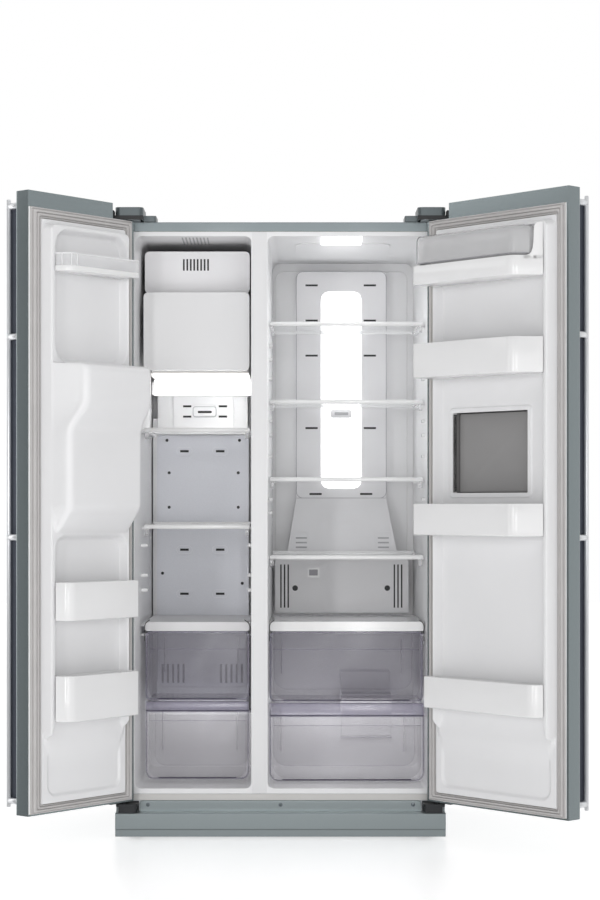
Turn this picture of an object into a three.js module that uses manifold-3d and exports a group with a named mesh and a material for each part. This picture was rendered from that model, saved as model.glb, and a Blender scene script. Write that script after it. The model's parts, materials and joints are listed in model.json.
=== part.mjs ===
// Side by side refrigerator, both doors open: freezer on the left, fridge on the right.
// Millimetres, +Z up, the fronts face -Y. The cabinet is drawn with x 0 at its middle, y 0 at its
// front plane and z 0 on the floor; the whole is shifted at the end so that the origin lies under
// the middle of its bounding box.
import * as THREE from 'three';
import { mergeVertices } from 'three/addons/utils/BufferGeometryUtils.js';
import Module from 'manifold-3d';

const wasm = await Module();
wasm.setup();

// ---------------------------------------------------------------- driving dimensions
const GAP = 0.3; // between pieces that touch
const HALF = 456; // half the cabinet's width
const DEPTH = 624; // cabinet without doors
const TOP = 1705; // cabinet top
const SHEET = 1.2; // steel of the wrapper and the doors
const RETURN = 26; // front return flange of the wrapper
const RAIL_TOP = 118.2; // top of the bottom rail
const WALL = 2; // liner plastic

const FREEZER = {
  y: [0, 60, 560], x0: [-404, -396, -390], x1: [-81, -83, -86],
  z0: [133, 136, 150], z1: [1666.5, 1664, 1655], r: [16, 16, 22], flange: [-429.6, -58.8],
};
const FRIDGE = {
  y: [0, 60, 560], x0: [-36, -33.5, -27], x1: [411, 409, 401],
  z0: [133, 136, 150], z1: [1666.5, 1664, 1655], r: [16, 16, 24], flange: [-58.2, 429.6],
};
const HUMP = { y: 395, z: 300 }; // step of the liners over the machine compartment
const MACHINE = { y: 432, z: 262 };

const DOOR = { edge: 452.5, back: -10, thick: 50, z0: 103.5, z1: 1745, corner: 8, notch: [81, 1703] };
const AXIS = { x: 434, y: -31.5 }; // hinge axes
const FREEZER_DOOR = { w: 395, open: 129.9, lin: [40, 355], gasket: [8, 387], handle: 375 };
const FRIDGE_DOOR = { w: 505, open: 132.3, lin: [40, 472], gasket: [8, 494], handle: 485 };
const BAND = 1702.4; // lower edge of the steel band along a door's top
const LIN_Z = [130, 1675]; // door liner, bottom and top
const DYKE = 40; // height of the raised border of a door liner
const PAD = 9; // height of the liner's flat rim
const HANDLE = { v: -96, r: 6, z: [119, 1729], posts: [136, 834, 1365, 1711] };
const HOME_BAR = { u: [111, 380], z: [952, 1169], seatU: [93, 398], seatZ: [930, 1190], seat: -22, inner: -12 };
const CHUTE = { u: [158, 228], v: [66, 112] }; // ice chute in the dispenser's bulge
const NICHE = { u: [112, 290], z: [905, 1128], v: 44 }; // where the glass stands

const SHELVES = { fridge: [1439, 1218.5, 999, 778.5], freezer: [1138.5, 865] };
const CENTRE = { x: 41.7, y: 103.7 }; // middle of the open object's bounding box

// ---------------------------------------------------------------- materials
const paint = (hex, roughness, metalness = 0, opacity = 1) =>
  new THREE.MeshStandardMaterial({ color: hex, roughness, metalness, opacity, transparent: opacity < 1 });
const M = {
  steel: paint(0x6b7a7e, 0.35, 0.6),
  white: paint(0xf1f1ef, 0.3),
  satin: paint(0xe6e6e4, 0.5),
  rubber: paint(0xc9c6c4, 0.8),
  zinc: paint(0xb4b7ba, 0.45, 0.9),
  dark: paint(0x26282a, 0.6),
  foam: paint(0xd8c98f, 0.95),
  clear: paint(0xdfe8ea, 0.05, 0, 0.35),
  tint: paint(0xb9b4c8, 0.1, 0, 0.45),
  glass: paint(0xdcebe8, 0.05, 0, 0.35),
  alu: paint(0xd5d7d9, 0.3, 0.9),
  panel: paint(0xaab2bf, 0.4, 0.4),
  lamp: paint(0xffffff, 0.4),
  smoke: paint(0x6c6a69, 0.35, 0.3),
};

// ---------------------------------------------------------------- shape helpers
function solid(geometry) {
  const g = geometry.clone();
  g.deleteAttribute('normal');
  g.deleteAttribute('uv');
  const m = mergeVertices(g, 1e-4);
  return new wasm.Manifold(new wasm.Mesh({
    numProp: 3, vertProperties: new Float32Array(m.attributes.position.array),
    triVerts: new Uint32Array(m.index.array),
  }));
}

function geometryOf(s) {
  const m = s.getMesh();
  const g = new THREE.BufferGeometry();
  g.setAttribute('position', new THREE.BufferAttribute(new Float32Array(m.vertProperties), 3));
  g.setIndex(new THREE.BufferAttribute(new Uint32Array(m.triVerts), 1));
  const flat = g.toNonIndexed();
  flat.computeVertexNormals();
  return flat;
}

const join = (...parts) => parts.flat().reduce((a, b) => a.add(b));
const cut = (a, ...parts) => parts.flat().reduce((s, b) => s.subtract(b), a);

function box(x0, x1, y0, y1, z0, z1) {
  const g = new THREE.BoxGeometry(x1 - x0, y1 - y0, z1 - z0);
  return solid(g.translate((x0 + x1) / 2, (y0 + y1) / 2, (z0 + z1) / 2));
}

function extrude(points, depth) {
  const shape = new THREE.Shape(points.map(([a, b]) => new THREE.Vector2(a, b)));
  return new THREE.ExtrudeGeometry(shape, { depth, bevelEnabled: false, curveSegments: 1 });
}

// A polygon in x and y, drawn up from z0 to z1.
const prismZ = (points, z0, z1) => solid(extrude(points, z1 - z0).translate(0, 0, z0));
// A polygon in x and z, drawn along y.
const prismY = (points, y0, y1) =>
  solid(extrude(points, y1 - y0).rotateX(Math.PI / 2).translate(0, y1, 0));
// A polygon in y and z, drawn along x.
function prismX(points, x0, x1) {
  const turn = new THREE.Matrix4().makeBasis(
    new THREE.Vector3(0, 1, 0), new THREE.Vector3(0, 0, 1), new THREE.Vector3(1, 0, 0));
  return solid(extrude(points, x1 - x0).applyMatrix4(turn).translate(x0, 0, 0));
}

// A rectangle with rounded corners, counter-clockwise from its lower right corner.
function roundRect(x0, x1, y0, y1, r, steps = r > 9 ? 3 : 2) {
  const out = [];
  const corners = [[x1 - r, y0 + r, -90], [x1 - r, y1 - r, 0], [x0 + r, y1 - r, 90], [x0 + r, y0 + r, 180]];
  for (const [cx, cy, start] of corners)
    for (let i = 0; i <= steps; i++) {
      const a = THREE.MathUtils.degToRad(start + (90 * i) / steps);
      out.push([cx + r * Math.cos(a), cy + r * Math.sin(a)]);
    }
  return out;
}

// A solid through rings of points, each ring with as many points as the next.
function loft(rings) {
  const n = rings[0].length;
  const position = [];
  const index = [];
  for (const ring of rings) for (const p of ring) position.push(...p);
  for (let k = 0; k + 1 < rings.length; k++)
    for (let i = 0; i < n; i++) {
      const j = (i + 1) % n;
      const [a, b, c, d] = [k * n + i, k * n + j, (k + 1) * n + j, (k + 1) * n + i];
      index.push(a, b, c, a, c, d);
    }
  for (const [k, flip] of [[0, true], [rings.length - 1, false]]) {
    const centre = [0, 1, 2].map((c) => rings[k].reduce((s, p) => s + p[c], 0) / n);
    const hub = position.length / 3;
    position.push(...centre);
    for (let i = 0; i < n; i++) {
      const [a, b] = [k * n + i, k * n + ((i + 1) % n)];
      index.push(...(flip ? [hub, b, a] : [hub, a, b]));
    }
  }
  const g = new THREE.BufferGeometry();
  g.setAttribute('position', new THREE.Float32BufferAttribute(position, 3));
  g.setIndex(index);
  const s = solid(g);
  if (s.volume() > 0) return s;
  for (let i = 0; i < index.length; i += 3) [index[i], index[i + 1]] = [index[i + 1], index[i]];
  g.setIndex(index);
  return solid(g);
}
const loftY = (sections) => loft(sections.map(([y, ring]) => ring.map(([x, z]) => [x, y, z])));
const loftZ = (sections) => loft(sections.map(([z, ring]) => ring.map(([x, y]) => [x, y, z])));

function cylinder(r, a, b, axis, at, steps = 24) {
  const g = new THREE.CylinderGeometry(r, r, b - a, steps).translate(0, (a + b) / 2, 0);
  if (axis === 'z') g.rotateX(Math.PI / 2);
  if (axis === 'x') g.rotateZ(-Math.PI / 2);
  return solid(g.translate(...at));
}

const root = new THREE.Group();
root.name = 'side_by_side_refrigerator';

function add(name, shape, material, group = root) {
  const mesh = new THREE.Mesh(geometryOf(shape), material);
  mesh.name = name;
  group.add(mesh);
  return mesh;
}

// ---------------------------------------------------------------- cabinet shell
function cavity(c, grow, y0 = c.y[0]) {
  const ring = (i) => roundRect(c.x0[i] - grow, c.x1[i] + grow, c.z0[i] - grow, c.z1[i] + grow, c.r[i] + grow);
  const body = loftY([[y0, ring(0)], [c.y[1], ring(1)], [c.y[2] + grow, ring(2)]]);
  return cut(body, box(-HALF, HALF, HUMP.y + grow, DEPTH, 0, HUMP.z - grow));
}

function wrapper() {
  const inner = HALF - SHEET;
  return cut(
    box(-HALF, HALF, 0, DEPTH, 66, TOP),
    box(-inner, inner, SHEET, DEPTH + 1, 0, TOP - SHEET),
    box(RETURN - HALF, HALF - RETURN, -1, 2, 0, TOP - RETURN));
}

function insulation() {
  const s = HALF - SHEET - GAP;
  const block = box(-s, s, WALL + 0.4, DEPTH - 3.4, RAIL_TOP + 3, TOP - SHEET - GAP);
  return cut(block, cavity(FREEZER, WALL + GAP, -1), cavity(FRIDGE, WALL + GAP, -1),
    box(-HALF, HALF, MACHINE.y, DEPTH, 0, MACHINE.z));
}

// Liner with its front flange, and with ledges that carry the shelves and drawers.
function liner(c, ledges) {
  const [f0, f1] = c.flange;
  const shell = join(cavity(c, WALL), box(f0, f1, 0, WALL, RAIL_TOP + GAP, TOP - RETURN - GAP));
  const inside = cavity(c, 0, -1);
  const bars = join(...ledges).intersect(cavity(c, 1));
  return join(cut(shell, inside), bars);
}

// A pair of ledges under z, out to reach from the two side walls.
function ledgePair(c, z, left, right, thick, y0, y1) {
  return [
    box(c.x0[0] - 5, c.x0[1] + left, y0, y1, z - thick, z),
    box(c.x1[1] - right, c.x1[0] + 5, y0, y1, z - thick, z),
  ];
}

function basePan() {
  const s = HALF - SHEET - GAP;
  const tray = box(-s, s, 8, DEPTH - 6, 44, 47);
  const walls = [box(-s, 3 - s, 8, 426, 44, 118), box(s - 3, s, 8, 426, 44, 118), box(-s, s, 8, 10.5, 44, 118)];
  const rail = [box(-429.6, 429.6, 0, 9, 116.4, 118), box(-429.6, 429.6, 0, 1.5, 100.6, 118)];
  const ears = [-414, 410].map((x) => box(x, x + 4, 570, 600, 10, 45));
  const axle = cylinder(6.4, -430, 430, 'x', [0, 585, 22]);
  return cut(join(tray, walls, rail, ears), axle);
}

function kickplate() {
  const profile = [[-34, 5], [-34, 25.5], [-37, 28.5], [-37, 67.7], [-4, 67.7], [-4, 70.7],
    [-37.5, 70.7], [-40, 68.2], [-40, 26.6], [-37, 23.6], [-37, 5]];
  const plate = prismX(profile, -HALF, HALF);
  const ends = [-HALF, HALF - 3].map((x) => box(x, x + 3, -39, -10, 27, 69));
  return join(plate, ends);
}

function baseTrim() {
  const face = roundRect(-391, 391, 66, 100, 9);
  const flat = join(prismY(face, -2, 7.7), box(-391, 391, -2, 7.7, 66, 80));
  return cut(flat, box(-388, 388, 0, 9, 69, 97));
}

function foot(x) {
  return join(cylinder(21, 0, 11, 'z', [x, 32, 0], 32), cylinder(7, 5, 44 - GAP, 'z', [x, 32, 0], 20));
}

function rearRollers() {
  const wheels = [-398, 378].map((x) => cylinder(22, x, x + 20, 'x', [0, 585, 22], 28));
  return join(cylinder(6, -416, 416, 'x', [0, 585, 22], 12), wheels);
}

function compressor() {
  const profile = [[0, 0], [62, 0], [84, 22], [88, 60], [88, 96], [80, 130], [56, 158], [20, 168], [0, 169]];
  const pot = new THREE.LatheGeometry(profile.map(([r, z]) => new THREE.Vector2(r, z)), 20).rotateX(Math.PI / 2);
  const plate = prismZ(roundRect(-262, -38, 444, 606, 18), 47.5, 52);
  const pipe = cylinder(5, 0, 70, 'x', [-80, 500, 178], 14);
  return join(solid(pot.translate(-150, 525, 50)), plate, pipe, box(-88, -58, 500, 550, 90, 150));
}

function compressorCover() {
  const s = HALF - SHEET - GAP;
  let plate = box(-s, s, DEPTH - 3, DEPTH - 1.5, 66, MACHINE.z + 16);
  const slots = [];
  for (let row = 0; row < 2; row++)
    for (let i = 0; i < 9; i++) {
      const x = -390 + i * 46;
      slots.push(box(x, x + 26, DEPTH - 5, DEPTH, 110 + row * 62, 158 + row * 62));
    }
  plate = cut(plate, slots);
  const inlet = cut(box(300, 352, DEPTH - 24, DEPTH - 1.6, 120, 154), box(304, 348, DEPTH - 20, DEPTH, 124, 150));
  return join(cut(plate, box(304, 348, DEPTH - 5, DEPTH, 124, 150)), inlet);
}

// Hinges: side is -1 for the freezer's and 1 for the fridge's.
const xs = (side, a, b) => (side < 0 ? [-b, -a] : [a, b]);

function topHinge(side) {
  const plate = roundRect(...xs(side, 388, 449), -47, 66, 12);
  return join(prismZ(plate, TOP + GAP, TOP + 4.5), cylinder(6, 1682, TOP + 2, 'z', [side * AXIS.x, AXIS.y, 0], 20));
}

function hingeCover(side) {
  const tall = prismZ(roundRect(...xs(side, 378, 455), -50, 76, 13), TOP + 0.6, 1740);
  const hollow = prismZ(roundRect(...xs(side, 380.5, 452.5), -47.5, 73.5, 10.5), TOP - 2, 1737);
  const low = prismZ(roundRect(...xs(side, 345, 384), -6, 76, 6), TOP + 0.6, 1722);
  const lowHollow = prismZ(roundRect(...xs(side, 347.5, 386), -3.5, 73.5, 4), TOP - 2, 1719.5);
  return cut(join(tall, low), hollow, lowHollow);
}

function bottomHinge(side) {
  const arm = prismZ(roundRect(...xs(side, 393, 454), -50, -2.5, 10), 89, 96);
  const block = prismZ(roundRect(...xs(side, 397, 448), -44, -5.5, 6), 71.6, 90);
  const plate = box(...xs(side, 393, 429), -3, -GAP, 71.6, 99);
  return join(arm, block, plate, cylinder(6, 90, 124, 'z', [side * AXIS.x, AXIS.y, 0], 20));
}

// ---------------------------------------------------------------- inside the freezer
function freezerPanel() {
  const plate = cut(prismY(roundRect(-375, -98, 310, 1132, 10), 505, 548), prismY(roundRect(-372.5, -100.5, 306, 1129.5, 8), 507, 549));
  const cuts = [];
  for (const z of [1083, 786, 653])
    for (const x of [-292, -184]) cuts.push(box(x - 13, x + 13, 500, 515, z - 3.5, z + 3.5));
  for (let i = 0; i < 5; i++)
    for (const x of [-361, -185]) cuts.push(box(x + i * 15.8, x + i * 15.8 + 6.5, 500, 515, 384, 441));
  const ovals = [];
  for (const z of [1083, 786, 653])
    for (const x of [-292, -184]) {
      ovals.push(prismY(roundRect(x - 24, x + 24, z - 13, z + 13, 12.5, 4), 502.5, 506));
    }
  return cut(join(plate, ovals), cuts);
}

function freezerDuctCover() {
  const back = cut(box(-372, -101, 500, 548, 1142, 1290), box(-369.5, -103.5, 502.5, 549, 1144.5, 1287.5));
  const lampBox = cut(prismY(roundRect(-386, -90, 1248, 1290, 6), 438, 501), box(-383, -93, 441, 498, 1240, 1287));
  const middle = cut(prismY(roundRect(-324, -143, 1145, 1252, 5), 492, 501), box(-321, -146, 494.5, 502, 1148, 1249));
  const slots = [];
  for (const x of [-295.5, -188]) for (const z of [1218, 1187]) slots.push(box(x, x + 25, 480, 506, z - 3, z + 3));
  const badge = prismY(roundRect(-268, -196, 1189, 1222, 8), 489.5, 493);
  return cut(join(back, lampBox, middle, badge), slots);
}

function iceMakerCover() {
  const shell = cut(
    prismY(roundRect(-384, -87.5, 1519, 1637, 12), 110, 430),
    prismY(roundRect(-381.5, -90, 1500, 1634.5, 10), 112.5, 431));
  const slots = [];
  for (let i = 0; i < 8; i++) slots.push(box(-276.5 + i * 9.8, -271.5 + i * 9.8, 100, 120, 1583, 1616));
  const tray = box(-350, -120, 300, 429, 1560, 1600);
  const rib = box(-240, -236, 290, 429, 1590, 1636);
  return join(cut(shell, slots), tray, rib);
}

function iceBucket() {
  const front = prismY(roundRect(-384, -87.5, 1298, 1516, 12), 55, 77);
  const tub = prismY(roundRect(-378, -94, 1300, 1505, 18), 70, 428);
  const hollow = prismY(roundRect(-375.5, -96.5, 1303, 1530, 16), 58, 425);
  const outlet = box(-452.5 + CHUTE.u[0] + 4, -452.5 + CHUTE.u[1] - 4, 62, 100, 1290, 1310);
  return cut(join(front, tub), hollow.intersect(box(-400, 0, 58, 430, 1290, 1600)), outlet,
    box(-375.5, -96.5, 58, 430, 1495, 1520).intersect(box(-400, 0, 79, 430, 1400, 1600)));
}

function evaporator() {
  const fins = [];
  for (let i = 0; i < 7; i++) fins.push(box(-348 + i * 36, -346 + i * 36, 514, 550, 800, 1000));
  const pipes = [];
  for (let i = 0; i < 2; i++) pipes.push(cylinder(5, -362, -112, 'x', [0, 532, 860 + i * 80], 6));
  const ends = [box(-362, -358, 512, 552, 796, 1004), box(-116, -112, 512, 552, 796, 1004)];
  return join(pipes, fins, ends);
}

function shelf(x0, x1, y0, y1, z, inset) {
  const plate = prismZ([[x0, y0], [x1, y0], [x1 - inset, y1], [x0 + inset, y1]], z - 6, z - 1);
  return join(plate, prismY(roundRect(x0, x1, z - 12.5, z, 3), y0, y0 + 9), box(x0 + inset, x1 - inset, y1 - 8, y1, z - 6, z + 5));
}

function deck(x0, x1, y0, y1, z0, z1, inset) {
  const outline = [[x0, y0], [x1, y0], [x1 - inset, y1], [x0 + inset, y1]];
  const slab = prismZ(outline, z1 - 5, z1);
  const front = prismY(roundRect(x0, x1, z0, z1, 6), y0, y0 + 4);
  const ribs = [x0 + 24, x1 - 27].map((x) => box(x, x + 3, y0 + 2, y1 - 4, z1 - 16, z1 - 2));
  return join(slab, front, ribs);
}

// Drawer: a wide front with rounded lower corners, a narrower tub behind it, and hanging rims.
function drawer(d) {
  const [x0, x1] = d.x;
  const face = (x, X, z) => join(prismY(roundRect(x, X, z, d.z1, d.r), d.y0, d.y0 + 3.5), box(x, X, d.y0, d.y0 + 3.5, z + d.r, d.z1));
  const tub = (g) => prismY(roundRect(x0 + 8 + g, x1 - 8 - g, d.z0 + (d.lift || 3) + g, d.z1 + 30, d.r), d.y0 + (g ? 3 : 1), d.y1 - g);
  const body = cut(tub(0), box(x0 - 9, x1 + 9, 0, 600, d.z1 - 4, d.z1 + 99));
  const rims = [[x0 + 3, x0 + 9], [x1 - 9, x1 - 3]].map(([a, b]) => box(a, b, d.y0 + 3, d.y1, d.z1 - 8, d.z1 - 4));
  const pull = d.lip
    ? prismX([[d.y0 - 9, d.z1 - d.lip], [d.y0 + 2, d.z1 - d.lip - 6], [d.y0 + 2, d.z1 - 1], [d.y0 - 7, d.z1 - 1], [d.y0 - 9, d.z1 - 3]], x0, x1)
    : box(x0 + 38, x1 - 38, d.y0 - 3, d.y0 + 1, d.z0 + 3, d.z0 + 7);
  return join(cut(join(face(x0, x1, d.z0), body, rims), tub(2.5)), pull);
}

// ---------------------------------------------------------------- inside the fridge
function fridgeDuctPanel() {
  const outline = (g) => join(
    prismY(roundRect(45.6 + g, 317 - g, 900, 1625 - g, 20 - g), 503 + g, 549),
    loftZ([
      [940, [[45.6 + g, 549], [45.6 + g, 503 + g], [317 - g, 503 + g], [317 - g, 549]]],
      [783 - (g ? 1 : 0), [[19.5 + g, 549], [19.5 + g, 452 + g], [346 - g, 452 + g], [346 - g, 549]]],
    ]));
  const top = box(0, 400, 400, 600, 783, 1700);
  const hollow = cut(outline(2.5), box(0, 400, 547, 600, 700, 1700));
  const shell = cut(outline(0).intersect(top), hollow, box(40, 330, 547, 551, 930, 1622));
  const cuts = [prismY(roundRect(120, 242, 970.5, 1564.5, 24), 490, 512)];
  for (const z of [1583.5, 1477.4, 1371.5, 1152.9])
    for (const x of [73.3, 249]) cuts.push(box(x, x + 37, 490, 512, z - 3, z + 3));
  for (const x of [85.4, 238]) cuts.push(box(x, x + 37, 490, 512, 951, 957));
  for (const x of [44, 290])
    for (const z of [822, 808, 794]) cuts.push(box(x, x + 33, 440, 520, z - 2.5, z + 2.5));
  return cut(shell, cuts);
}

function fridgeLampLens() {
  const badge = prismY(roundRect(148, 214, 1182, 1210, 8), 497.5, 501);
  return join(prismY(roundRect(120.5, 241.5, 971, 1564, 23.5), 500.5, 507), badge);
}

function fridgeRearCover() {
  const body = cut(prismY(roundRect(-19, 383, 597, 757, 6), 478, 540), prismY(roundRect(-16.5, 380.5, 599.5, 754.5, 4), 480.5, 541));
  const cuts = [];
  for (const x of [-3, 8, 19, 338, 349, 360]) cuts.push(box(x, x + 4.5, 470, 485, 612, 742));
  for (const x of [42, 319]) cuts.push(cylinder(8.5, 470, 485, 'y', [x, 0, 671], 20));
  const badge = prismY(roundRect(71, 124, 699, 742, 5), 475, 479);
  return cut(join(body, badge), cuts);
}

// ---------------------------------------------------------------- doors, in their own u, v, z
// u runs from the hinge edge to the free edge, v from the door's back plane into the cabinet.
function pivot(side, door) {
  const swing = new THREE.Group();
  swing.position.set(side * AXIS.x, AXIS.y, 0);
  swing.rotation.z = side * THREE.MathUtils.degToRad(door.open);
  root.add(swing);
  return swing;
}

function addDoorPart(name, shape, material, side, swing) {
  const mesh = add(name, side > 0 ? shape.mirror([1, 0, 0]) : shape, material, swing);
  mesh.position.set(side * (DOOR.edge - AXIS.x), DOOR.back - AXIS.y, 0);
}

// The door's outside, smaller by g all round; the outer vertical edges are round.
function doorBlock(door, g) {
  const r = DOOR.corner - g;
  const [u0, u1, v0, v1] = [g, door.w - g, g - DOOR.thick, -g];
  const plan = [[u1, v1], [u0, v1]];
  for (const [cu, cv, start] of [[u0 + r, v0 + r, 180], [u1 - r, v0 + r, 270]])
    for (let i = 0; i <= 5; i++) {
      const a = THREE.MathUtils.degToRad(start + 18 * i);
      plan.push([cu + r * Math.cos(a), cv + r * Math.sin(a)]);
    }
  const [nu, nz] = DOOR.notch;
  return cut(prismZ(plan, DOOR.z0 + g, DOOR.z1 - g), box(-9, nu + g, -90, 90, nz - g, 1800));
}

function pinHoles() {
  const at = [DOOR.edge - AXIS.x, AXIS.y - DOOR.back, 0];
  return [cylinder(6.6, 1676, 1750, 'z', at, 20), cylinder(6.6, 90, 130, 'z', at, 20)];
}

function doorShell(door, extra) {
  const [g0, g1] = door.gasket;
  return cut(doorBlock(door, 0), doorBlock(door, SHEET), box(g0, g1, -3, 1, 108, BAND), pinHoles(), extra);
}

const linRect = (door, g, hinge, free, z0, z1, r) =>
  roundRect(door.lin[0] + hinge + g, door.lin[1] - free - g, z0 + g, z1 - g, r);

// The raised face of a door liner as a full body, smaller by g.
function linerFace(door, g, pockets) {
  const pad = prismY(linRect(door, g, 0, 0, ...LIN_Z, 24), -1, PAD - g);
  const dyke = loftY([
    [-1, linRect(door, g, 11, 1, 308, LIN_Z[1] - 12.5, 20)],
    [PAD, linRect(door, g, 12, 3, 314, LIN_Z[1] - 13, 20)],
    [DYKE - 4 - g, linRect(door, g, 13, 10.5, 326, LIN_Z[1] - 15, 24)],
    [DYKE - g, linRect(door, g, 17, 14.5, 330, LIN_Z[1] - 19, 24)],
  ]);
  const floor = 14;
  const wells = pockets.map(([z0, z1]) => loftY([
    [floor - g, linRect(door, -g, 28, 26, z0, z1, 30)],
    [floor + 30, linRect(door, -g, 21, 19, z0 - 7, z1 + 7, 30)],
  ]));
  const spread = prismY([
    [door.lin[0] + 12 - g, 300 - g], [door.lin[1] - 10 + g, 300 - g],
    [door.lin[1] - 25 + g, 352 + g], [door.lin[0] + 27 - g, 352 + g]], floor - g, DYKE + 9);
  const shallow = loftY([
    [3.5 - g, linRect(door, -g, 26, 26, LIN_Z[0] + 24, 292, 30)],
    [20, linRect(door, -g, 8, 8, LIN_Z[0] + 6, 310, 34)],
  ]);
  return cut(join(pad, dyke), wells, spread, shallow);
}

// The dispenser's bulge behind the freezer door: [z, height, inset at the free side].
const BULGE = [
  [838, 30, 16], [846, 42, 18], [892, 82, 19], [908, 95, 16], [922, 100, 14],
  [1108, 100, 14], [1124, 103, 16], [1142, 112, 21], [1178, 134, 33], [1196, 139, 35],
  [1210, 140, 35], [1268, 140, 35], [1284, 134, 35], [1292, 116, 33],
];

function bulge(g) {
  const sections = BULGE.map(([z, height, inset], i) => {
    const v = height - g;
    const [u0, u1] = [58 + g, 345 - g];
    const [f0, f1] = [62 + g, 355 - inset - g];
    const r = 14 + v / 12;
    const ring = [[u0, -1], [u0 + 1, 9]];
    for (let k = 0; k <= 3; k++) ring.push(corner(f0 + r, v - r, r, 180 - 30 * k));
    for (let k = 0; k <= 4; k++) ring.push(corner(f1 - r, v - r, r, 90 - 20 * k));
    ring.push([u1, Math.min(37, height - r) - g], [u1 - 1, -1]);
    const zz = i === 0 ? z + g : i === BULGE.length - 1 ? z - g : z;
    return [zz, ring];
  });
  return loftZ(sections);
}

const corner = (cu, cv, r, degrees) => {
  const a = THREE.MathUtils.degToRad(degrees);
  return [cu + r * Math.cos(a), cv + r * Math.sin(a)];
};

const FREEZER_WELLS = [[1304, 1640], [285, 832]];
const FRIDGE_WELLS = [[285, 1640]];
const behind = (v) => box(-20, 600, -60, v, 0, 1800);

function freezerLiner() {
  const hole = box(...CHUTE.u, ...CHUTE.v, 1250, 1300);
  const outer = join(linerFace(FREEZER_DOOR, 0, FREEZER_WELLS), bulge(0));
  const inner = join(linerFace(FREEZER_DOOR, WALL, FREEZER_WELLS), bulge(WALL));
  return cut(outer, inner, behind(0), hole);
}

function fridgeLiner() {
  const rim = prismY(roundRect(97, 394, 938, 1183, 14), 8, 17);
  const body = cut(join(linerFace(FRIDGE_DOOR, 0, FRIDGE_WELLS), rim), linerFace(FRIDGE_DOOR, WALL, FRIDGE_WELLS), behind(0));
  const [u0, u1] = HOME_BAR.u;
  const [z0, z1] = HOME_BAR.z;
  const collar = box(u0 - 3, u1 + 3, HOME_BAR.seat + 1, 14, z0 - 3, z1 + 3);
  return cut(join(body, collar), box(u0, u1, -60, 60, z0, z1));
}

function doorFoam(door, face, extra) {
  const slab = doorBlock(door, SHEET + GAP);
  const web = box(door.lin[0] + 6, door.lin[1] - 6, -3, 0, LIN_Z[0] + 8, LIN_Z[1] - 8);
  return cut(join(slab, web, face), pinHoles(), extra);
}

function gasket(door) {
  const [g0, g1] = [door.gasket[0] + 0.4, door.gasket[1] - 0.4];
  const [l0, l1] = [door.lin[0] - 0.4, door.lin[1] + 0.4];
  const ring = (o0, o1, oz0, oz1, i0, i1, iz0, iz1, v0, v1) => cut(
    prismY(roundRect(o0, o1, oz0, oz1, 4), v0, v1), prismY(roundRect(i0, i1, iz0, iz1, 24), v0 - 1, v1 + 1));
  const foot = ring(g0, g1, 108.4, BAND - 0.4, l0, l1, LIN_Z[0] - 0.4, LIN_Z[1] + 0.4, GAP, 3.4);
  const tube = ring(g0 + 4, g1 - 4, 111.5, BAND - 5, l0 - 7, l1 + 7, LIN_Z[0] - 6, LIN_Z[1] + 8, 3, 9.2);
  return join(foot, tube);
}

// Handle: a round bar on four stout posts, with a dark grip lip along its inner side.
function handle(door) {
  const u = door.handle;
  const bar = cylinder(HANDLE.r, ...HANDLE.z, 'z', [u, HANDLE.v, 0], 14);
  const posts = HANDLE.posts.map((z) => cylinder(8.5, HANDLE.v + 2, -DOOR.thick - GAP, 'y', [u, 0, z], 12));
  const [first, last] = [HANDLE.posts[0], HANDLE.posts[HANDLE.posts.length - 1]];
  const lip = prismZ([[u - 12, HANDLE.v - 2], [u - 2, HANDLE.v - 2], [u - 2, HANDLE.v + 1],
    [u - 9, HANDLE.v + 1], [u - 9, HANDLE.v + 27], [u - 12, HANDLE.v + 27]], first + 4, last - 4);
  return join(bar, posts, lip);
}

// Door bin: straight front, a wide curve at the free side, and a narrower back between the borders.
function binPlan(b, g) {
  const [u0, u1, v1, back] = [b.u[0] + g, b.u[1] - g, b.v - g, b.back];
  const [cu, cv] = [b.u[1] - b.curve, 44];
  const plan = [[u0, cv + g], [back[0] + g, cv + g], [back[0] + g, 18 + g], [back[1] - g, 18 + g], [back[1] - g, cv + g], [u1, cv + g]];
  for (let i = 1; i <= 8; i++) {
    const a = (Math.PI / 2) * (i / 8);
    plan.push([cu + (u1 - cu) * Math.cos(a), cv + g + (v1 - cv - g) * Math.sin(a)]);
  }
  plan.push([u0, v1]);
  return plan;
}

function bin(b) {
  return cut(prismZ(binPlan(b, 0), b.z[0], b.z[1]), prismZ(binPlan(b, 2.5), b.z[0] + 3, b.z[1] + 9));
}

const FREEZER_BIN = { u: [63, 338], v: 82, curve: 50, back: [70, 325] };
const FRIDGE_BIN = { u: [47, 456], v: 107, curve: 58, back: [70, 442] };
const FREEZER_BINS = {
  freezer_bin_top: { ...FREEZER_BIN, v: 84, z: [1535, 1582] },
  freezer_bin_middle: { ...FREEZER_BIN, z: [615, 716] },
  freezer_bin_bottom: { ...FREEZER_BIN, z: [350, 470] },
};
const FRIDGE_BINS = {
  fridge_bin_2: { ...FRIDGE_BIN, z: [1263, 1356] },
  fridge_bin_3: { ...FRIDGE_BIN, z: [838, 923] },
  fridge_bin_4: { ...FRIDGE_BIN, v: 68, u: [49, 456], z: [369, 454] },
};
const DAIRY = { ...FRIDGE_BIN, z: [1515, 1566] };
const LID = { u: [58, 424], axis: [47, 1643] };

// Dairy compartment: a bin with ears that carry the lid's pins.
function dairyBin() {
  const ear = [[44, 1560], [80, 1560], [70, 1600], [62, 1640], [54, 1652], [44, 1652]];
  const ears = [[50, 53], [430, 440]].map(([a, b]) => prismX(ear, a, b));
  const [v, z] = LID.axis;
  const pins = [[52, 60], [422, 432]].map(([a, b]) => cylinder(2.5, a, b, 'x', [0, v + 6, z - 4], 12));
  return join(bin(DAIRY), ears, pins);
}

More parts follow.
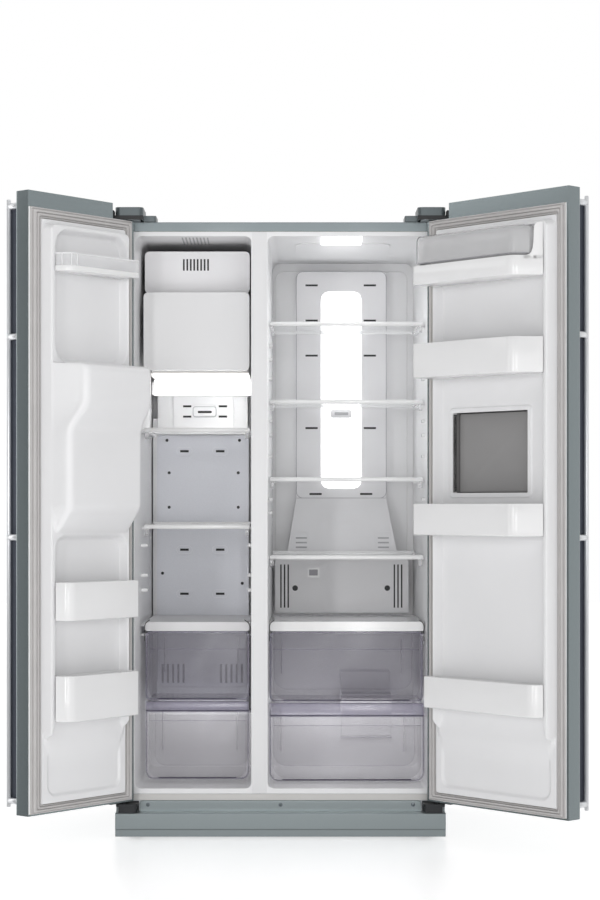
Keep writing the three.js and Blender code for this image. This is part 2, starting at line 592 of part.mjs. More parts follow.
function dairyLid() {
  const side = (g) => {
    const pts = [[46, 1634], [46, 1648 - g], [72 - g, 1648 - g]];
    for (let i = 1; i <= 6; i++) {
      const a = (Math.PI / 2) * (1 - i / 6);
      pts.push([72 - g + 30 * Math.cos(a), 1610 + (38 - g) * Math.sin(a)]);
    }
    pts.push([102 - g, 1570], [94, 1570]);
    return pts;
  };
  const [u0, u1] = LID.u;
  const full = prismX(side(0).reverse(), u0, u1);
  const hollow = prismX([[40, 1500], [99.5, 1500], ...side(2.5).slice(2, -2).reverse(), [40, 1645.5]], u0 + 2.5, u1 - 2.5);
  const pins = cylinder(3.2, u0 - 5, u1 + 5, 'x', [0, LID.axis[0] + 6, LID.axis[1] - 4], 12);
  return cut(full, hollow, pins);
}

function homeBarDoor() {
  const plate = prismY(roundRect(95, 396, 932, 1188, 5), -DOOR.thick, -26);
  const plug = prismY(roundRect(115, 376, 957, 1161, 10), -27, HOME_BAR.inner);
  const grip = prismX([[-51, 1168], [-38, 1172], [-38, 1189], [-51, 1189]], 190, 300);
  return cut(join(plate, plug), grip);
}

function dispenserHousing() {
  const [u0, u1] = NICHE.u;
  const [z0, z1] = NICHE.z;
  const plate = prismY(roundRect(86, 316, 872, 1318, 14), -DOOR.thick - 3, -DOOR.thick - GAP);
  const tub = prismY(roundRect(u0 - 3, u1 + 3, z0 - 3, z1 + 3, 16), -DOOR.thick - 1, NICHE.v + 3);
  const hollow = prismY(roundRect(u0, u1, z0, z1, 14), -70, NICHE.v);
  const [c0, c1] = CHUTE.u;
  const chute = loftZ([
    [z1 + 1, [[c0 + 4, 6], [c1 - 4, 6], [c1 - 4, 42], [c0 + 4, 42]]],
    [1283, [[c0 + 2, CHUTE.v[0] + 2], [c1 - 2, CHUTE.v[0] + 2], [c1 - 2, CHUTE.v[1] - 2], [c0 + 2, CHUTE.v[1] - 2]]],
  ]);
  const way = loftZ([
    [z1 - 6, [[c0 + 7, 8], [c1 - 7, 8], [c1 - 7, 38], [c0 + 7, 38]]],
    [1290, [[c0 + 4.5, CHUTE.v[0] + 4.5], [c1 - 4.5, CHUTE.v[0] + 4.5], [c1 - 4.5, CHUTE.v[1] - 4.5], [c0 + 4.5, CHUTE.v[1] - 4.5]]],
  ]);
  const tray = box(u0 + 4, u1 - 4, -46, 20, z0 - 2, z0 + 8);
  const display = prismY(roundRect(120, 282, 1180, 1288, 8), -DOOR.thick - 4.5, -DOOR.thick - 1);
  return cut(join(cut(join(plate, tub), hollow), chute, tray, display), way);
}

function dispenserLever() {
  const paddle = prismX([[14, 1116], [18, 1116], [10, 1010], [6, 990], [2, 992], [6, 1012]], 176, 226);
  return join(paddle, cylinder(3, NICHE.u[0] + 2, NICHE.u[1] - 2, 'x', [0, 16, 1116], 12));
}

// ---------------------------------------------------------------- assembly
function buildCabinet() {
  add('cabinet_wrapper', wrapper(), M.steel);
  add('back_panel', box(-454.4, 454.4, DEPTH - 3, DEPTH - 1.8, MACHINE.z + 17, TOP - SHEET - GAP), M.zinc);
  add('cabinet_insulation', insulation(), M.foam);
  const freezerLedges = [
    ...SHELVES.freezer.flatMap((z) => ledgePair(FREEZER, z - 6.3, 20, 13, 8, 132, 460)),
    ...ledgePair(FREEZER, 584.4, 20, 13, 8, 130, 460), ...ledgePair(FREEZER, 555.2, 20, 11.5, 6, 130, 470),
  ];
  const fridgeLedges = [
    ...SHELVES.fridge.flatMap((z) => ledgePair(FRIDGE, z - 6.3, 13, 13, 8, 132, 430)),
    ...ledgePair(FRIDGE, 584.4, 13, 13, 8, 130, 455), ...ledgePair(FRIDGE, 553.7, 11, 11, 6, 130, 460),
  ];
  add('freezer_liner', liner(FREEZER, freezerLedges), M.white);
  add('fridge_liner', liner(FRIDGE, fridgeLedges), M.white);
  add('base_pan', basePan(), M.zinc);
  add('base_trim', baseTrim(), M.steel);
  add('kickplate', kickplate(), M.steel);
  for (const [side, word] of [[-1, 'left'], [1, 'right']]) {
    add(`top_hinge_${word}`, topHinge(side), M.zinc);
    add(`hinge_cover_${word}`, hingeCover(side), M.steel);
    add(`bottom_hinge_${word}`, bottomHinge(side), M.dark);
    add(`foot_${word}`, foot(side * 400), M.dark);
  }
  add('rear_rollers', rearRollers(), M.dark);
  add('compressor', compressor(), M.dark);
  add('compressor_cover', compressorCover(), M.zinc);
}

function buildFreezer() {
  add('evaporator', evaporator(), M.alu);
  add('freezer_panel', freezerPanel(), M.panel);
  add('freezer_duct_cover', freezerDuctCover(), M.satin);
  add('ice_maker_cover', iceMakerCover(), M.white);
  add('ice_bucket', iceBucket(), M.white);
  add('freezer_shelf_upper', shelf(-386, -88, 112, 480, SHELVES.freezer[0], 0), M.white);
  add('freezer_shelf_lower', shelf(-386, -88, 100, 480, SHELVES.freezer[1], 0), M.white);
  add('freezer_deck', deck(-383, -87.5, 90, 480, 565, 590, 0), M.white);
  add('freezer_drawer_upper', drawer({ x: [-380.5, -88.5], y0: 92, y1: 478, z0: 370, z1: 563.5, r: 14 }), M.tint);
  add('freezer_drawer_lower', drawer({ x: [-380.5, -89], y0: 92, y1: 385, z0: 147, z1: 367, r: 22, lip: 26 }), M.tint);
}

function buildFridge() {
  add('fridge_duct_panel', fridgeDuctPanel(), M.satin);
  add('fridge_lamp_lens', fridgeLampLens(), M.lamp);
  add('fridge_rear_cover', fridgeRearCover(), M.satin);
  SHELVES.fridge.forEach((z, i) => {
    const back = i === 3 ? 446 : 470;
    add(`fridge_shelf_${i + 1}`, shelf(-31, 403, 110, back, z, 5), M.glass);
  });
  add('crisper_deck', deck(-31, 404, 98, 472, 564, 590.5, 5), M.white);
  add('crisper_upper', drawer({ x: [-30, 401], y0: 102, y1: 470, z0: 364.5, z1: 562, r: 14 }), M.tint);
  add('crisper_lower', drawer({ x: [-31, 405], y0: 100, y1: 385, z0: 140, z1: 362, r: 24, lip: 36, lift: 8 }), M.tint);
}

function buildFreezerDoor() {
  const swing = pivot(-1, FREEZER_DOOR);
  const put = (name, shape, material) => addDoorPart(name, shape, material, -1, swing);
  const [u0, u1] = NICHE.u;
  const [z0, z1] = NICHE.z;
  const pocket = join(
    box(u0 - 3.4, u1 + 3.4, -60, NICHE.v + 3.5, z0 - 3.4, z1 + 3.4),
    box(...CHUTE.u, 2, CHUTE.v[1] + 3, z1, 1300));
  put('freezer_door_shell', doorShell(FREEZER_DOOR, [box(u0 - 3.4, u1 + 3.4, -60, -40, z0 - 3.4, z1 + 3.4)]), M.steel);
  const face = join(linerFace(FREEZER_DOOR, WALL + GAP, FREEZER_WELLS), bulge(WALL + GAP));
  put('freezer_door_insulation', doorFoam(FREEZER_DOOR, face, [pocket]), M.foam);
  put('freezer_door_liner', freezerLiner(), M.white);
  put('freezer_door_gasket', gasket(FREEZER_DOOR), M.rubber);
  put('freezer_door_handle', handle(FREEZER_DOOR), M.alu);
  put('dispenser_housing', dispenserHousing(), M.smoke);
  put('dispenser_lever', dispenserLever(), M.dark);
  for (const [name, b] of Object.entries(FREEZER_BINS)) put(name, bin(b), name.endsWith('top') ? M.clear : M.white);
}

function buildFridgeDoor() {
  const swing = pivot(1, FRIDGE_DOOR);
  const put = (name, shape, material) => addDoorPart(name, shape, material, 1, swing);
  const [s0, s1] = HOME_BAR.seatU;
  const [t0, t1] = HOME_BAR.seatZ;
  const [h0, h1] = HOME_BAR.u;
  const [k0, k1] = HOME_BAR.z;
  put('fridge_door_shell', doorShell(FRIDGE_DOOR, [box(s0, s1, -60, -40, t0, t1)]), M.steel);
  const pocket = [box(s0 - 1, s1 + 1, -60, HOME_BAR.seat, t0 - 1, t1 + 1), box(h0 - 3.4, h1 + 3.4, -60, 60, k0 - 3.4, k1 + 3.4)];
  put('fridge_door_insulation', doorFoam(FRIDGE_DOOR, linerFace(FRIDGE_DOOR, WALL + GAP, FRIDGE_WELLS), pocket), M.foam);
  put('fridge_door_liner', fridgeLiner(), M.white);
  put('fridge_door_gasket', gasket(FRIDGE_DOOR), M.rubber);
  put('fridge_door_handle', handle(FRIDGE_DOOR), M.alu);
  put('home_bar_door', homeBarDoor(), M.smoke);
  put('fridge_bin_1', dairyBin(), M.white);
  put('dairy_lid', dairyLid(), M.clear);
  for (const [name, b] of Object.entries(FRIDGE_BINS)) put(name, bin(b), M.white);
}

buildCabinet();
buildFreezer();
buildFridge();
buildFreezerDoor();
buildFridgeDoor();
root.position.set(-CENTRE.x, -CENTRE.y, 0);

export default root;
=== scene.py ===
import json
import math

import bmesh
import bpy
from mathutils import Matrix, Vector


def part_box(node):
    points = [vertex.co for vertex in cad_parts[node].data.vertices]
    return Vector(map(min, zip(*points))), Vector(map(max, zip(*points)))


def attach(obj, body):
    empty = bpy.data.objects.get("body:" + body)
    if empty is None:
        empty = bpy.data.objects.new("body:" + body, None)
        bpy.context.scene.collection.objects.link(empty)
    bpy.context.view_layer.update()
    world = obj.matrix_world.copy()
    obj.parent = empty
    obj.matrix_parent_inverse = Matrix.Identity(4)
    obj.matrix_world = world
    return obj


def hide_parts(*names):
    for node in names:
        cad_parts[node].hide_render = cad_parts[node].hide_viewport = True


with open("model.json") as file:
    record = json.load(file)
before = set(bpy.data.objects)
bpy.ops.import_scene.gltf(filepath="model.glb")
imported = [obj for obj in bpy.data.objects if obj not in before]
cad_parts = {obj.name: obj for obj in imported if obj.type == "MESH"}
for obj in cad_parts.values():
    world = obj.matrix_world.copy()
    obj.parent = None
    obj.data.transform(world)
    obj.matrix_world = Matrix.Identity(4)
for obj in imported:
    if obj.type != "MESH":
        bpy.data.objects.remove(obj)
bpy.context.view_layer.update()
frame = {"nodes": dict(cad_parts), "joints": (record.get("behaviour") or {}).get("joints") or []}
NODES = frame["nodes"]


# ---------------------------------------------------------------- places, in millimetres
# The cabinet's own frame has x 0 at its middle, y 0 at its front plane and z 0 on the floor.
MM = 0.001
low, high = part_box("cabinet_wrapper")
ORIGIN = Vector(((low.x + high.x) / 2, low.y, 0.0))
JOINTS = {j["name"]: j for j in frame["joints"]}
DOOR_EDGE = 452.5
DOOR_BACK = -10.0


def cabinet(x, y, z):
    """The place of a point given in the cabinet's own frame."""
    return ORIGIN + Vector((x, y, z)) * MM


def door_frame(side, joint):
    """Places a point given as u from the hinge edge, v from the door's back plane, and z."""
    hinge = JOINTS[joint]
    ax = (hinge["pos_m"][0] - ORIGIN.x) / MM
    ay = (hinge["pos_m"][1] - ORIGIN.y) / MM
    turn = math.radians(-hinge["range_deg"][0])
    c, s = math.cos(turn), math.sin(turn)

    def place(u, v, z):
        a = u - DOOR_EDGE + abs(ax)
        b = v + DOOR_BACK - ay
        return cabinet(ax - side * (a * c + b * s), ay - a * s + b * c, z)

    return place


LEFT = door_frame(-1, "freezer_door_hinge")
RIGHT = door_frame(1, "fridge_door_hinge")


# ---------------------------------------------------------------- shapes: (points, faces)
def merge(*shapes):
    """Several shapes as one."""
    points, faces = [], []
    for p, f in shapes:
        n = len(points)
        points += p
        faces += [[i + n for i in face] for face in f]
    return points, faces


def loft(rings, loop=False):
    """A skin over rings of equal length: closed by its first and last ring, or round again as a loop."""
    n = len(rings[0])
    points = [p for ring in rings for p in ring]
    faces = []
    last = len(rings) if loop else len(rings) - 1
    for k in range(last):
        a, b = k * n, (k + 1) % len(rings) * n
        faces += [[a + i, a + (i + 1) % n, b + (i + 1) % n, b + i] for i in range(n)]
    if not loop:
        faces += [list(range(n)), list(range((len(rings) - 1) * n, len(rings) * n))]
    return points, faces


def box(x0, x1, y0, y1, z0, z1):
    ring = [(x0, y0), (x1, y0), (x1, y1), (x0, y1)]
    return loft([[(x, y, z) for x, y in ring] for z in (z0, z1)])


def round_rect(x0, x1, y0, y1, r, n=6):
    """A rectangle with round corners of n steps each, running counter-clockwise."""
    out = []
    corners = ((x1 - r, y0 + r, -90), (x1 - r, y1 - r, 0), (x0 + r, y1 - r, 90), (x0 + r, y0 + r, 180))
    for cx, cy, start in corners:
        for i in range(n + 1):
            a = math.radians(start + 90 * i / n)
            out.append((cx + r * math.cos(a), cy + r * math.sin(a)))
    return out


def along_x(ring, x0, x1):
    """An outline in y and z, drawn from x0 to x1."""
    return loft([[(x, a, b) for a, b in ring] for x in (x0, x1)])


def along_y(ring, y0, y1):
    """An outline in x and z, drawn from y0 to y1."""
    return loft([[(a, y, b) for a, b in ring] for y in (y0, y1)])


def along_z(ring, z0, z1):
    """An outline in x and y, drawn from z0 to z1."""
    return loft([[(a, b, z) for a, b in ring] for z in (z0, z1)])


def plate_y(x0, x1, z0, z1, r, y0, y1, edge=1.0, n=6):
    """A plate facing -y with round corners and a soft front edge."""
    rings = []
    for k in range(4):
        a = math.pi / 2 * k / 3
        d, y = edge * (1 - math.sin(a)), y0 + edge * (1 - math.cos(a))
        rings.append([(x, y, z) for x, z in round_rect(x0 + d, x1 - d, z0 + d, z1 - d, r - d, n)])
    rings.append([(x, y1, z) for x, z in round_rect(x0, x1, z0, z1, r, n)])
    return loft(rings)


def rod(r, a, b, axis, at, n=20, edge=0.0):
    """A round bar along an axis; at gives the other two coordinates in x, y, z order."""
    rings = []
    ends = [(a, r - edge), (a + edge, r)] if edge else [(a, r)]
    ends += [(b - edge, r), (b, r - edge)] if edge else [(b, r)]
    for t, rr in ends:
        ring = []
        for i in range(n):
            w = 2 * math.pi * i / n
            p = [at[0] + rr * math.cos(w), at[1] + rr * math.sin(w)]
            p.insert("xyz".index(axis), t)
            ring.append(tuple(p))
        rings.append(ring)
    return loft(rings)


def inset(ring, d):
    """The outline moved inwards by d; the outline runs counter-clockwise."""
    out = []
    n = len(ring)
    for i, p in enumerate(ring):
        a, b = Vector(ring[i - 1]), Vector(ring[(i + 1) % n])
        here = Vector(p)
        e0, e1 = (here - a).normalized(), (b - here).normalized()
        n0, n1 = Vector((-e0.y, e0.x)), Vector((-e1.y, e1.x))
        m = (n0 + n1).normalized()
        q = here + m * (d / max(0.35, m.dot(n0)))
        out.append((q.x, q.y))
    return out


def tray(outline, z0, z1, wall, fillet):
    """An open container over an outline, with a round bottom edge and a round rim."""
    turns = [math.pi / 2 * k / 4 for k in range(5)]
    rings = [(fillet * (1 - math.sin(a)), z0 + fillet * (1 - math.cos(a))) for a in turns]
    rings += [(0, z1 - wall / 2), (wall * 0.15, z1 - wall * 0.15), (wall / 2, z1)]
    rings += [(wall * 0.85, z1 - wall * 0.15), (wall, z1 - wall / 2)]
    rings += [(wall + fillet * (1 - math.sin(a)), z0 + wall + fillet * (1 - math.cos(a)))
              for a in turns[::-1]]
    return loft([[(x, y, z) for x, y in inset(outline, d)] for d, z in rings])


# ---------------------------------------------------------------- materials
def material(name, colour, roughness, metallic=0.0, vary=0.03, scale=9.0, grain=0.0, grain_scale=900.0,
             rough_vary=0.05, alpha=1.0, coat=0.0, stretch=(1, 1, 1), emission=0.0):
    """A finish whose colour and roughness drift a little with a cloud, with fine grain where asked."""
    m = bpy.data.materials.new(name)
    m.use_nodes = True
    tree = m.node_tree
    tree.nodes.clear()

    def node(kind, **inputs):
        made = tree.nodes.new(kind)
        for key, value in inputs.items():
            made.inputs[key.replace("_", " ")].default_value = value
        return made

    out = node("ShaderNodeOutputMaterial")
    shader = node("ShaderNodeBsdfPrincipled", Metallic=metallic, Alpha=alpha, Coat_Weight=coat,
                  Coat_Roughness=0.08, Specular_IOR_Level=0.5, IOR=1.5)
    tree.links.new(shader.outputs[0], out.inputs[0])
    where = node("ShaderNodeTexCoord")
    mapping = node("ShaderNodeMapping")
    mapping.inputs["Scale"].default_value = stretch
    tree.links.new(where.outputs["Object"], mapping.inputs["Vector"])
    cloud = node("ShaderNodeTexNoise", Scale=scale, Detail=3.0)
    tree.links.new(mapping.outputs[0], cloud.inputs["Vector"])
    ramp = node("ShaderNodeValToRGB")
    for k, factor in ((0, 1 - vary), (1, 1 + vary)):
        ramp.color_ramp.elements[k].position = 0.3 + 0.4 * k
        ramp.color_ramp.elements[k].color = [min(1, c * factor) for c in colour] + [1]
    tree.links.new(cloud.outputs["Fac"], ramp.inputs["Fac"])
    tree.links.new(ramp.outputs[0], shader.inputs["Base Color"])
    if emission:
        tree.links.new(ramp.outputs[0], shader.inputs["Emission Color"])
        shader.inputs["Emission Strength"].default_value = emission
    spread = node("ShaderNodeMapRange")
    spread.inputs["To Min"].default_value = max(0.02, roughness - rough_vary)
    spread.inputs["To Max"].default_value = roughness + rough_vary
    tree.links.new(cloud.outputs["Fac"], spread.inputs["Value"])
    tree.links.new(spread.outputs[0], shader.inputs["Roughness"])
    if grain:
        fine = node("ShaderNodeTexNoise", Scale=grain_scale, Detail=2.0)
        tree.links.new(mapping.outputs[0], fine.inputs["Vector"])
        bump = node("ShaderNodeBump", Strength=grain, Distance=0.0004)
        tree.links.new(fine.outputs["Fac"], bump.inputs["Height"])
        tree.links.new(bump.outputs[0], shader.inputs["Normal"])
    return m


def enamel(name, colour, roughness, metallic, coat):
    """The teal grey metallic paint of doors and case, with lighter and darker copies that are painted light
    and shade.
    """
    return material(name, colour, roughness, metallic, vary=0.04, scale=1400, grain=0.05, coat=coat)


def clear(name, colour, roughness, alpha, vary=0.02, scale=9.0):
    """A plastic that lets light through."""
    return material(name, colour, roughness, vary=vary, scale=scale, alpha=alpha, rough_vary=0.03)


# One teal grey paint: the lighter copy on the base trim and kickplate is painted light, and the darker copies
# on the case and hinge covers are painted shade.
PAINT = enamel("teal_grey_paint", (0.245, 0.285, 0.295), 0.2, 0.72, 0.2)
PAINT_LIT_COPY = enamel("teal_grey_paint_lit_copy", (0.295, 0.335, 0.345), 0.32, 0.7, 0.15)
PAINT_SHADED_COPY = enamel("teal_grey_paint_shaded_copy", (0.195, 0.225, 0.235), 0.32, 0.7, 0.18)
PAINT_DARK_SHADED_COPY = material("teal_grey_paint_dark_shaded_copy", (0.12, 0.14, 0.147), 0.36, 0.5, vary=0.04, scale=900,
                       grain=0.05)
# A dark slate grey: on the handles' lips it is painted shade.
SLATE_DARK = material("dark_slate_paint", (0.115, 0.125, 0.155), 0.35, 0.4, vary=0.06, scale=500, grain=0.05)
RAIL = material("warm_grey_rail", (0.60, 0.59, 0.575), 0.42, 0.1, vary=0.02, scale=8, grain=0.06)
WHITE = material("white_gloss_plastic", (0.82, 0.82, 0.825), 0.1, vary=0.012, scale=5, grain=0.03,
                 grain_scale=500)
LINER = material("white_liner_plastic", (0.815, 0.815, 0.825), 0.33, vary=0.015, scale=4, grain=0.06,
                 grain_scale=420)
SATIN = material("satin_white_plastic", (0.735, 0.73, 0.745), 0.45, vary=0.015, scale=6, grain=0.12,
                 grain_scale=700)
SEAL = material("grey_vinyl_seal", (0.53, 0.515, 0.51), 0.55, vary=0.03, scale=14, grain=0.15,
                grain_scale=600)
ZINC = material("galvanised_sheet", (0.55, 0.57, 0.59), 0.42, 0.85, vary=0.14, scale=60, grain=0.1)
BLACK_METAL = material("black_painted_steel", (0.025, 0.027, 0.03), 0.4, 0.3, vary=0.1, scale=300, grain=0.1)
BLACK = material("black_plastic", (0.02, 0.02, 0.022), 0.5, vary=0.1, scale=200, grain=0.2)
FOAM = material("rigid_foam", (0.72, 0.62, 0.36), 0.9, vary=0.08, scale=120, grain=0.8, grain_scale=300)
SMOKE = material("smoke_grey_plastic", (0.20, 0.195, 0.195), 0.38, vary=0.05, scale=3, grain=0.12)
FLAP = material("flap_grey_plastic", (0.31, 0.305, 0.305), 0.34, vary=0.07, scale=2.4, grain=0.1)
GREY = material("mid_grey_plastic", (0.42, 0.42, 0.435), 0.5, vary=0.05, scale=60, grain=0.15)
# Grey for painted shade in the duct panel's gap and crease, and for a badge's own dark inside.
GAP_SHADE_AND_BADGE_GREY = material("gap_shade_and_badge_grey", (0.36, 0.35, 0.38), 0.5, vary=0.04, scale=30)
RAIL_WHITE = material("mullion_white", (0.74, 0.74, 0.75), 0.34, vary=0.012, scale=3, grain=0.05)
ALUMINIUM = material("brushed_aluminium", (0.84, 0.85, 0.87), 0.34, 0.6, vary=0.05, scale=700, grain=0.1,
                     stretch=(1, 1, 0.02))
SILVER = material("silver_blue_paint", (0.68, 0.69, 0.735), 0.42, 0.15, vary=0.03, scale=500, grain=0.08)
# Paler silver for the rings round the panel's ovals: a painted highlight.
SILVER_HIGHLIGHT = material("pale_silver_painted_highlight", (0.74, 0.75, 0.79), 0.4, 0.15, vary=0.03, scale=200)
LAMP = material("lit_lamp_diffuser", (0.97, 0.97, 0.97), 0.4, vary=0.02, scale=30, emission=1.4)
# A faint glow on the lamp's hood: painted light.
HOOD_PAINTED_GLOW = material("lamp_hood_painted_glow", (0.90, 0.88, 0.85), 0.4, vary=0.02, scale=6, emission=0.35)
GLASS = material("shelf_glass", (0.86, 0.9, 0.9), 0.06, vary=0.01, alpha=0.16, rough_vary=0.02)
CLEAR = clear("clear_plastic", (0.80, 0.80, 0.81), 0.08, 0.34)
MILKY = clear("pale_clear_plastic", (0.93, 0.93, 0.945), 0.08, 0.34, scale=6)
# A paler, less clear plastic for bright edges: painted highlight.
MILKY_HIGHLIGHT = clear("pale_plastic_painted_highlight", (0.92, 0.92, 0.935), 0.12, 0.8, scale=12)
# Darker grey for the lid's edges: painted shade.
LID_EDGE_SHADE = clear("lid_edge_painted_shade", (0.36, 0.36, 0.385), 0.12, 0.6, vary=0.03, scale=12)
TINT = clear("violet_tinted_plastic", (0.47, 0.45, 0.54), 0.1, 0.14, vary=0.04, scale=7)
TINT_PALE = clear("pale_tinted_plastic", (0.78, 0.76, 0.82), 0.1, 0.15, vary=0.04, scale=7)
TINT_LIP = clear("violet_lip_plastic", (0.40, 0.38, 0.49), 0.1, 0.42, vary=0.04, scale=7)
TINT_EDGE = clear("violet_edge_plastic", (0.22, 0.20, 0.31), 0.12, 0.45, vary=0.05)
# Dark violet for the drawers' dark lines; under the lip it is painted shade.
TINT_DARK = material("dark_violet_lines", (0.05, 0.045, 0.075), 0.3, vary=0.08, scale=40)


# ---------------------------------------------------------------- pieces
def smooth(mesh, angle):
    """Smooth shading, with the edges over the angle kept sharp."""
    b = bmesh.new()
    b.from_mesh(mesh)
    for face in b.faces:
        face.smooth = True
    limit = math.radians(angle)
    for edge in b.edges:
        edge.smooth = len(edge.link_faces) == 2 and edge.calc_face_angle(0) < limit
    b.to_mesh(mesh)
    b.free()


def piece(name, shape, place, body, paint, slot, replaces=(), bevel=0.0, angle=35):
    """One piece made from points and faces, with its finish and its body; the slot is not used."""
    points, faces = shape
    mesh = bpy.data.meshes.new(name)
    mesh.from_pydata([place(*p) for p in points], [], faces)
    b = bmesh.new()
    b.from_mesh(mesh)
    bmesh.ops.recalc_face_normals(b, faces=b.faces)
    b.to_mesh(mesh)
    b.free()
    smooth(mesh, angle)
    made = bpy.data.objects.new(name, mesh)
    bpy.context.scene.collection.objects.link(made)
    mesh.materials.append(paint)
    if bevel:
        add_bevel(made, bevel)
    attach(made, body)
    if replaces:
        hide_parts(*replaces)
    return made


def add_bevel(made, width):
    """Round edges of the given width, in two steps."""
    bevel = made.modifiers.new("edges", "BEVEL")
    bevel.width = width * MM
    bevel.segments = 2
    bevel.limit_method = "ANGLE"
    bevel.angle_limit = math.radians(38)
    weighted = made.modifiers.new("normals", "WEIGHTED_NORMAL")
    weighted.keep_sharp = False


def dress(node, paint, bevel):
    """A CAD node that stays: its finish, welded points, flat faces joined and soft edges."""
    made = NODES[node]
    mesh = made.data
    custom = mesh.attributes.get("custom_normal")
    if custom:
        mesh.attributes.remove(custom)
    mesh.materials.clear()
    mesh.materials.append(paint)
    mesh.polygons.foreach_set("use_smooth", [True] * len(mesh.polygons))
    weld = made.modifiers.new("weld", "WELD")
    weld.merge_threshold = 0.00002
    flat = made.modifiers.new("flat", "DECIMATE")
    flat.decimate_type = "DISSOLVE"
    flat.angle_limit = math.radians(0.6)
    add_bevel(made, bevel)


# ---------------------------------------------------------------- CAD nodes that stay
STAYING = {
    "cabinet_wrapper": (PAINT_SHADED_COPY, 1.2), "base_trim": (PAINT_LIT_COPY, 1.5), "kickplate": (PAINT_LIT_COPY, 0.8),
    "hinge_cover_left": (PAINT_DARK_SHADED_COPY, 1.2), "hinge_cover_right": (PAINT_DARK_SHADED_COPY, 1.2),
    "freezer_door_shell": (PAINT, 0.8), "fridge_door_shell": (PAINT, 0.8),
    "back_panel": (ZINC, 0.3), "base_pan": (ZINC, 0.5), "compressor_cover": (ZINC, 0.3),
    "top_hinge_left": (ZINC, 0.6), "top_hinge_right": (ZINC, 0.6),
    "bottom_hinge_left": (BLACK_METAL, 0.8), "bottom_hinge_right": (BLACK_METAL, 0.8),
    "compressor": (BLACK_METAL, 1.5), "foot_left": (BLACK, 0.8), "foot_right": (BLACK, 0.8),
    "rear_rollers": (BLACK, 0.8), "dispenser_lever": (BLACK, 0.5),
    "cabinet_insulation": (FOAM, 0.5), "freezer_door_insulation": (FOAM, 0.2),
    "fridge_door_insulation": (FOAM, 0.2), "freezer_liner": (LINER, 2.2), "fridge_liner": (LINER, 2.2),
    "ice_maker_cover": (SATIN, 0.4), "ice_bucket": (RAIL_WHITE, 2.0), "freezer_duct_cover": (WHITE, 1.0),
    "evaporator": (ALUMINIUM, 0.3), "freezer_panel": (SILVER, 0.6),
    "freezer_deck": (SATIN, 1.5), "crisper_deck": (WHITE, 1.5),
    "fridge_duct_panel": (SATIN, 0.7), "fridge_lamp_lens": (LAMP, 1.0), "fridge_rear_cover": (SATIN, 0.6),
    "dispenser_housing": (SMOKE, 1.2), "home_bar_door": (FLAP, 1.2),
}
for node_name, (paint, width) in STAYING.items():
    dress(node_name, paint, width)


# ---------------------------------------------------------------- door liners
def ramp(d, a, b):
    """0 where d is a, 1 where d is b, smooth between."""
    t = min(1.0, max(0.0, (d - a) / (b - a)))
    return t * t * (3 - 2 * t)


def mix(a, b, t):
    """A value t of the way from a to b."""
    return a + (b - a) * t


def rect_distance(u, z, u0, u1, z0, z1, r):
    """Distance to a rectangle with round corners, negative inside."""
    du = abs(u - (u0 + u1) / 2) - (u1 - u0) / 2 + r
    dz = abs(z - (z0 + z1) / 2) - (z1 - z0) / 2 + r
    return math.hypot(max(du, 0), max(dz, 0)) + min(max(du, dz), 0) - r


DOOR_LINER = {"z": (130, 1675), "pad": 9, "crest": 40, "floor": 14, "low": 4}
CREST = {"hinge": 12.5, "free": 3, "foot": 300, "top": 12.8}
WELL = {"hinge": 22, "free": 20, "foot": 262, "top": 1647}
RECESS = {"side": 20, "foot": 148, "top": 420}
SIDES = {"L": (40, 355), "R": (40, 472)}


def liner_height(side, wells):
    """Height of a door liner: flat rim, raised border, wells, and a shallow recess at the foot."""
    u0, u1 = SIDES[side]
    z0, z1 = DOOR_LINER["z"]

    def height(u, z):
        v = DOOR_LINER["pad"] * ramp(rect_distance(u, z, u0, u1, z0, z1, 7), 0.2, -2.2)
        ends = (CREST["foot"], z1 - CREST["top"])
        crest = rect_distance(u, z, u0 + CREST["hinge"], u1 - CREST["free"], *ends, 20)
        v = mix(v, DOOR_LINER["crest"], ramp(crest, 0.5, -6))
        floor = mix(DOOR_LINER["pad"], DOOR_LINER["floor"], ramp(z, 266, 302))
        spread = 14 * ramp(z, 350, 300)
        cutting = 0.0
        for a, b, r in wells:
            d = rect_distance(u, z, u0 + WELL["hinge"] - spread, u1 - WELL["free"] + spread, a, b, r)
            cutting = max(cutting, ramp(d, 1.5, -10))
        v = mix(v, floor, cutting)
        side = RECESS["side"]
        recess = rect_distance(u, z, u0 + side, u1 - side, RECESS["foot"], RECESS["top"], 30)
        deep = mix(DOOR_LINER["low"], DOOR_LINER["floor"], ramp(z, 225, 300))
        return mix(v, deep, ramp(recess, 0, -8) * ramp(z, 350, 300))

    return height


BULGE_Z = [822, 830, 838, 846, 892, 908, 922, 1108, 1124, 1142, 1178, 1196, 1210, 1268, 1284, 1292, 1296]
BULGE_V = [6, 17, 31, 43, 82, 95, 100, 100, 103, 112, 134, 139, 140, 140, 136, 122, 20]
BULGE_FREE = [336, 338, 341, 340, 339, 340, 342, 342, 340, 335, 324, 321, 321, 321, 322, 323, 324]
BULGE_HINGE = 62
BULGE_END = 346


def table(z, zs, values):
    """Values between stations, eased at each station."""
    if z <= zs[0] or z >= zs[-1]:
        return values[0] if z <= zs[0] else values[-1]
    k = next(i for i in range(len(zs) - 1) if zs[i] <= z <= zs[i + 1])
    t = (z - zs[k]) / (zs[k + 1] - zs[k])

    def slope(i):
        if i <= 0 or i >= len(zs) - 1:
            return 0.0
        a = (values[i] - values[i - 1]) / (zs[i] - zs[i - 1])
        b = (values[i + 1] - values[i]) / (zs[i + 1] - zs[i])
        return 0.0 if a * b <= 0 else 2 * a * b / (a + b)

    h = zs[k + 1] - zs[k]
    m0, m1 = slope(k) * h, slope(k + 1) * h
    return ((2 * t**3 - 3 * t**2 + 1) * values[k] + (t**3 - 2 * t**2 + t) * m0
            + (3 * t**2 - 2 * t**3) * values[k + 1] + (t**3 - t**2) * m1)


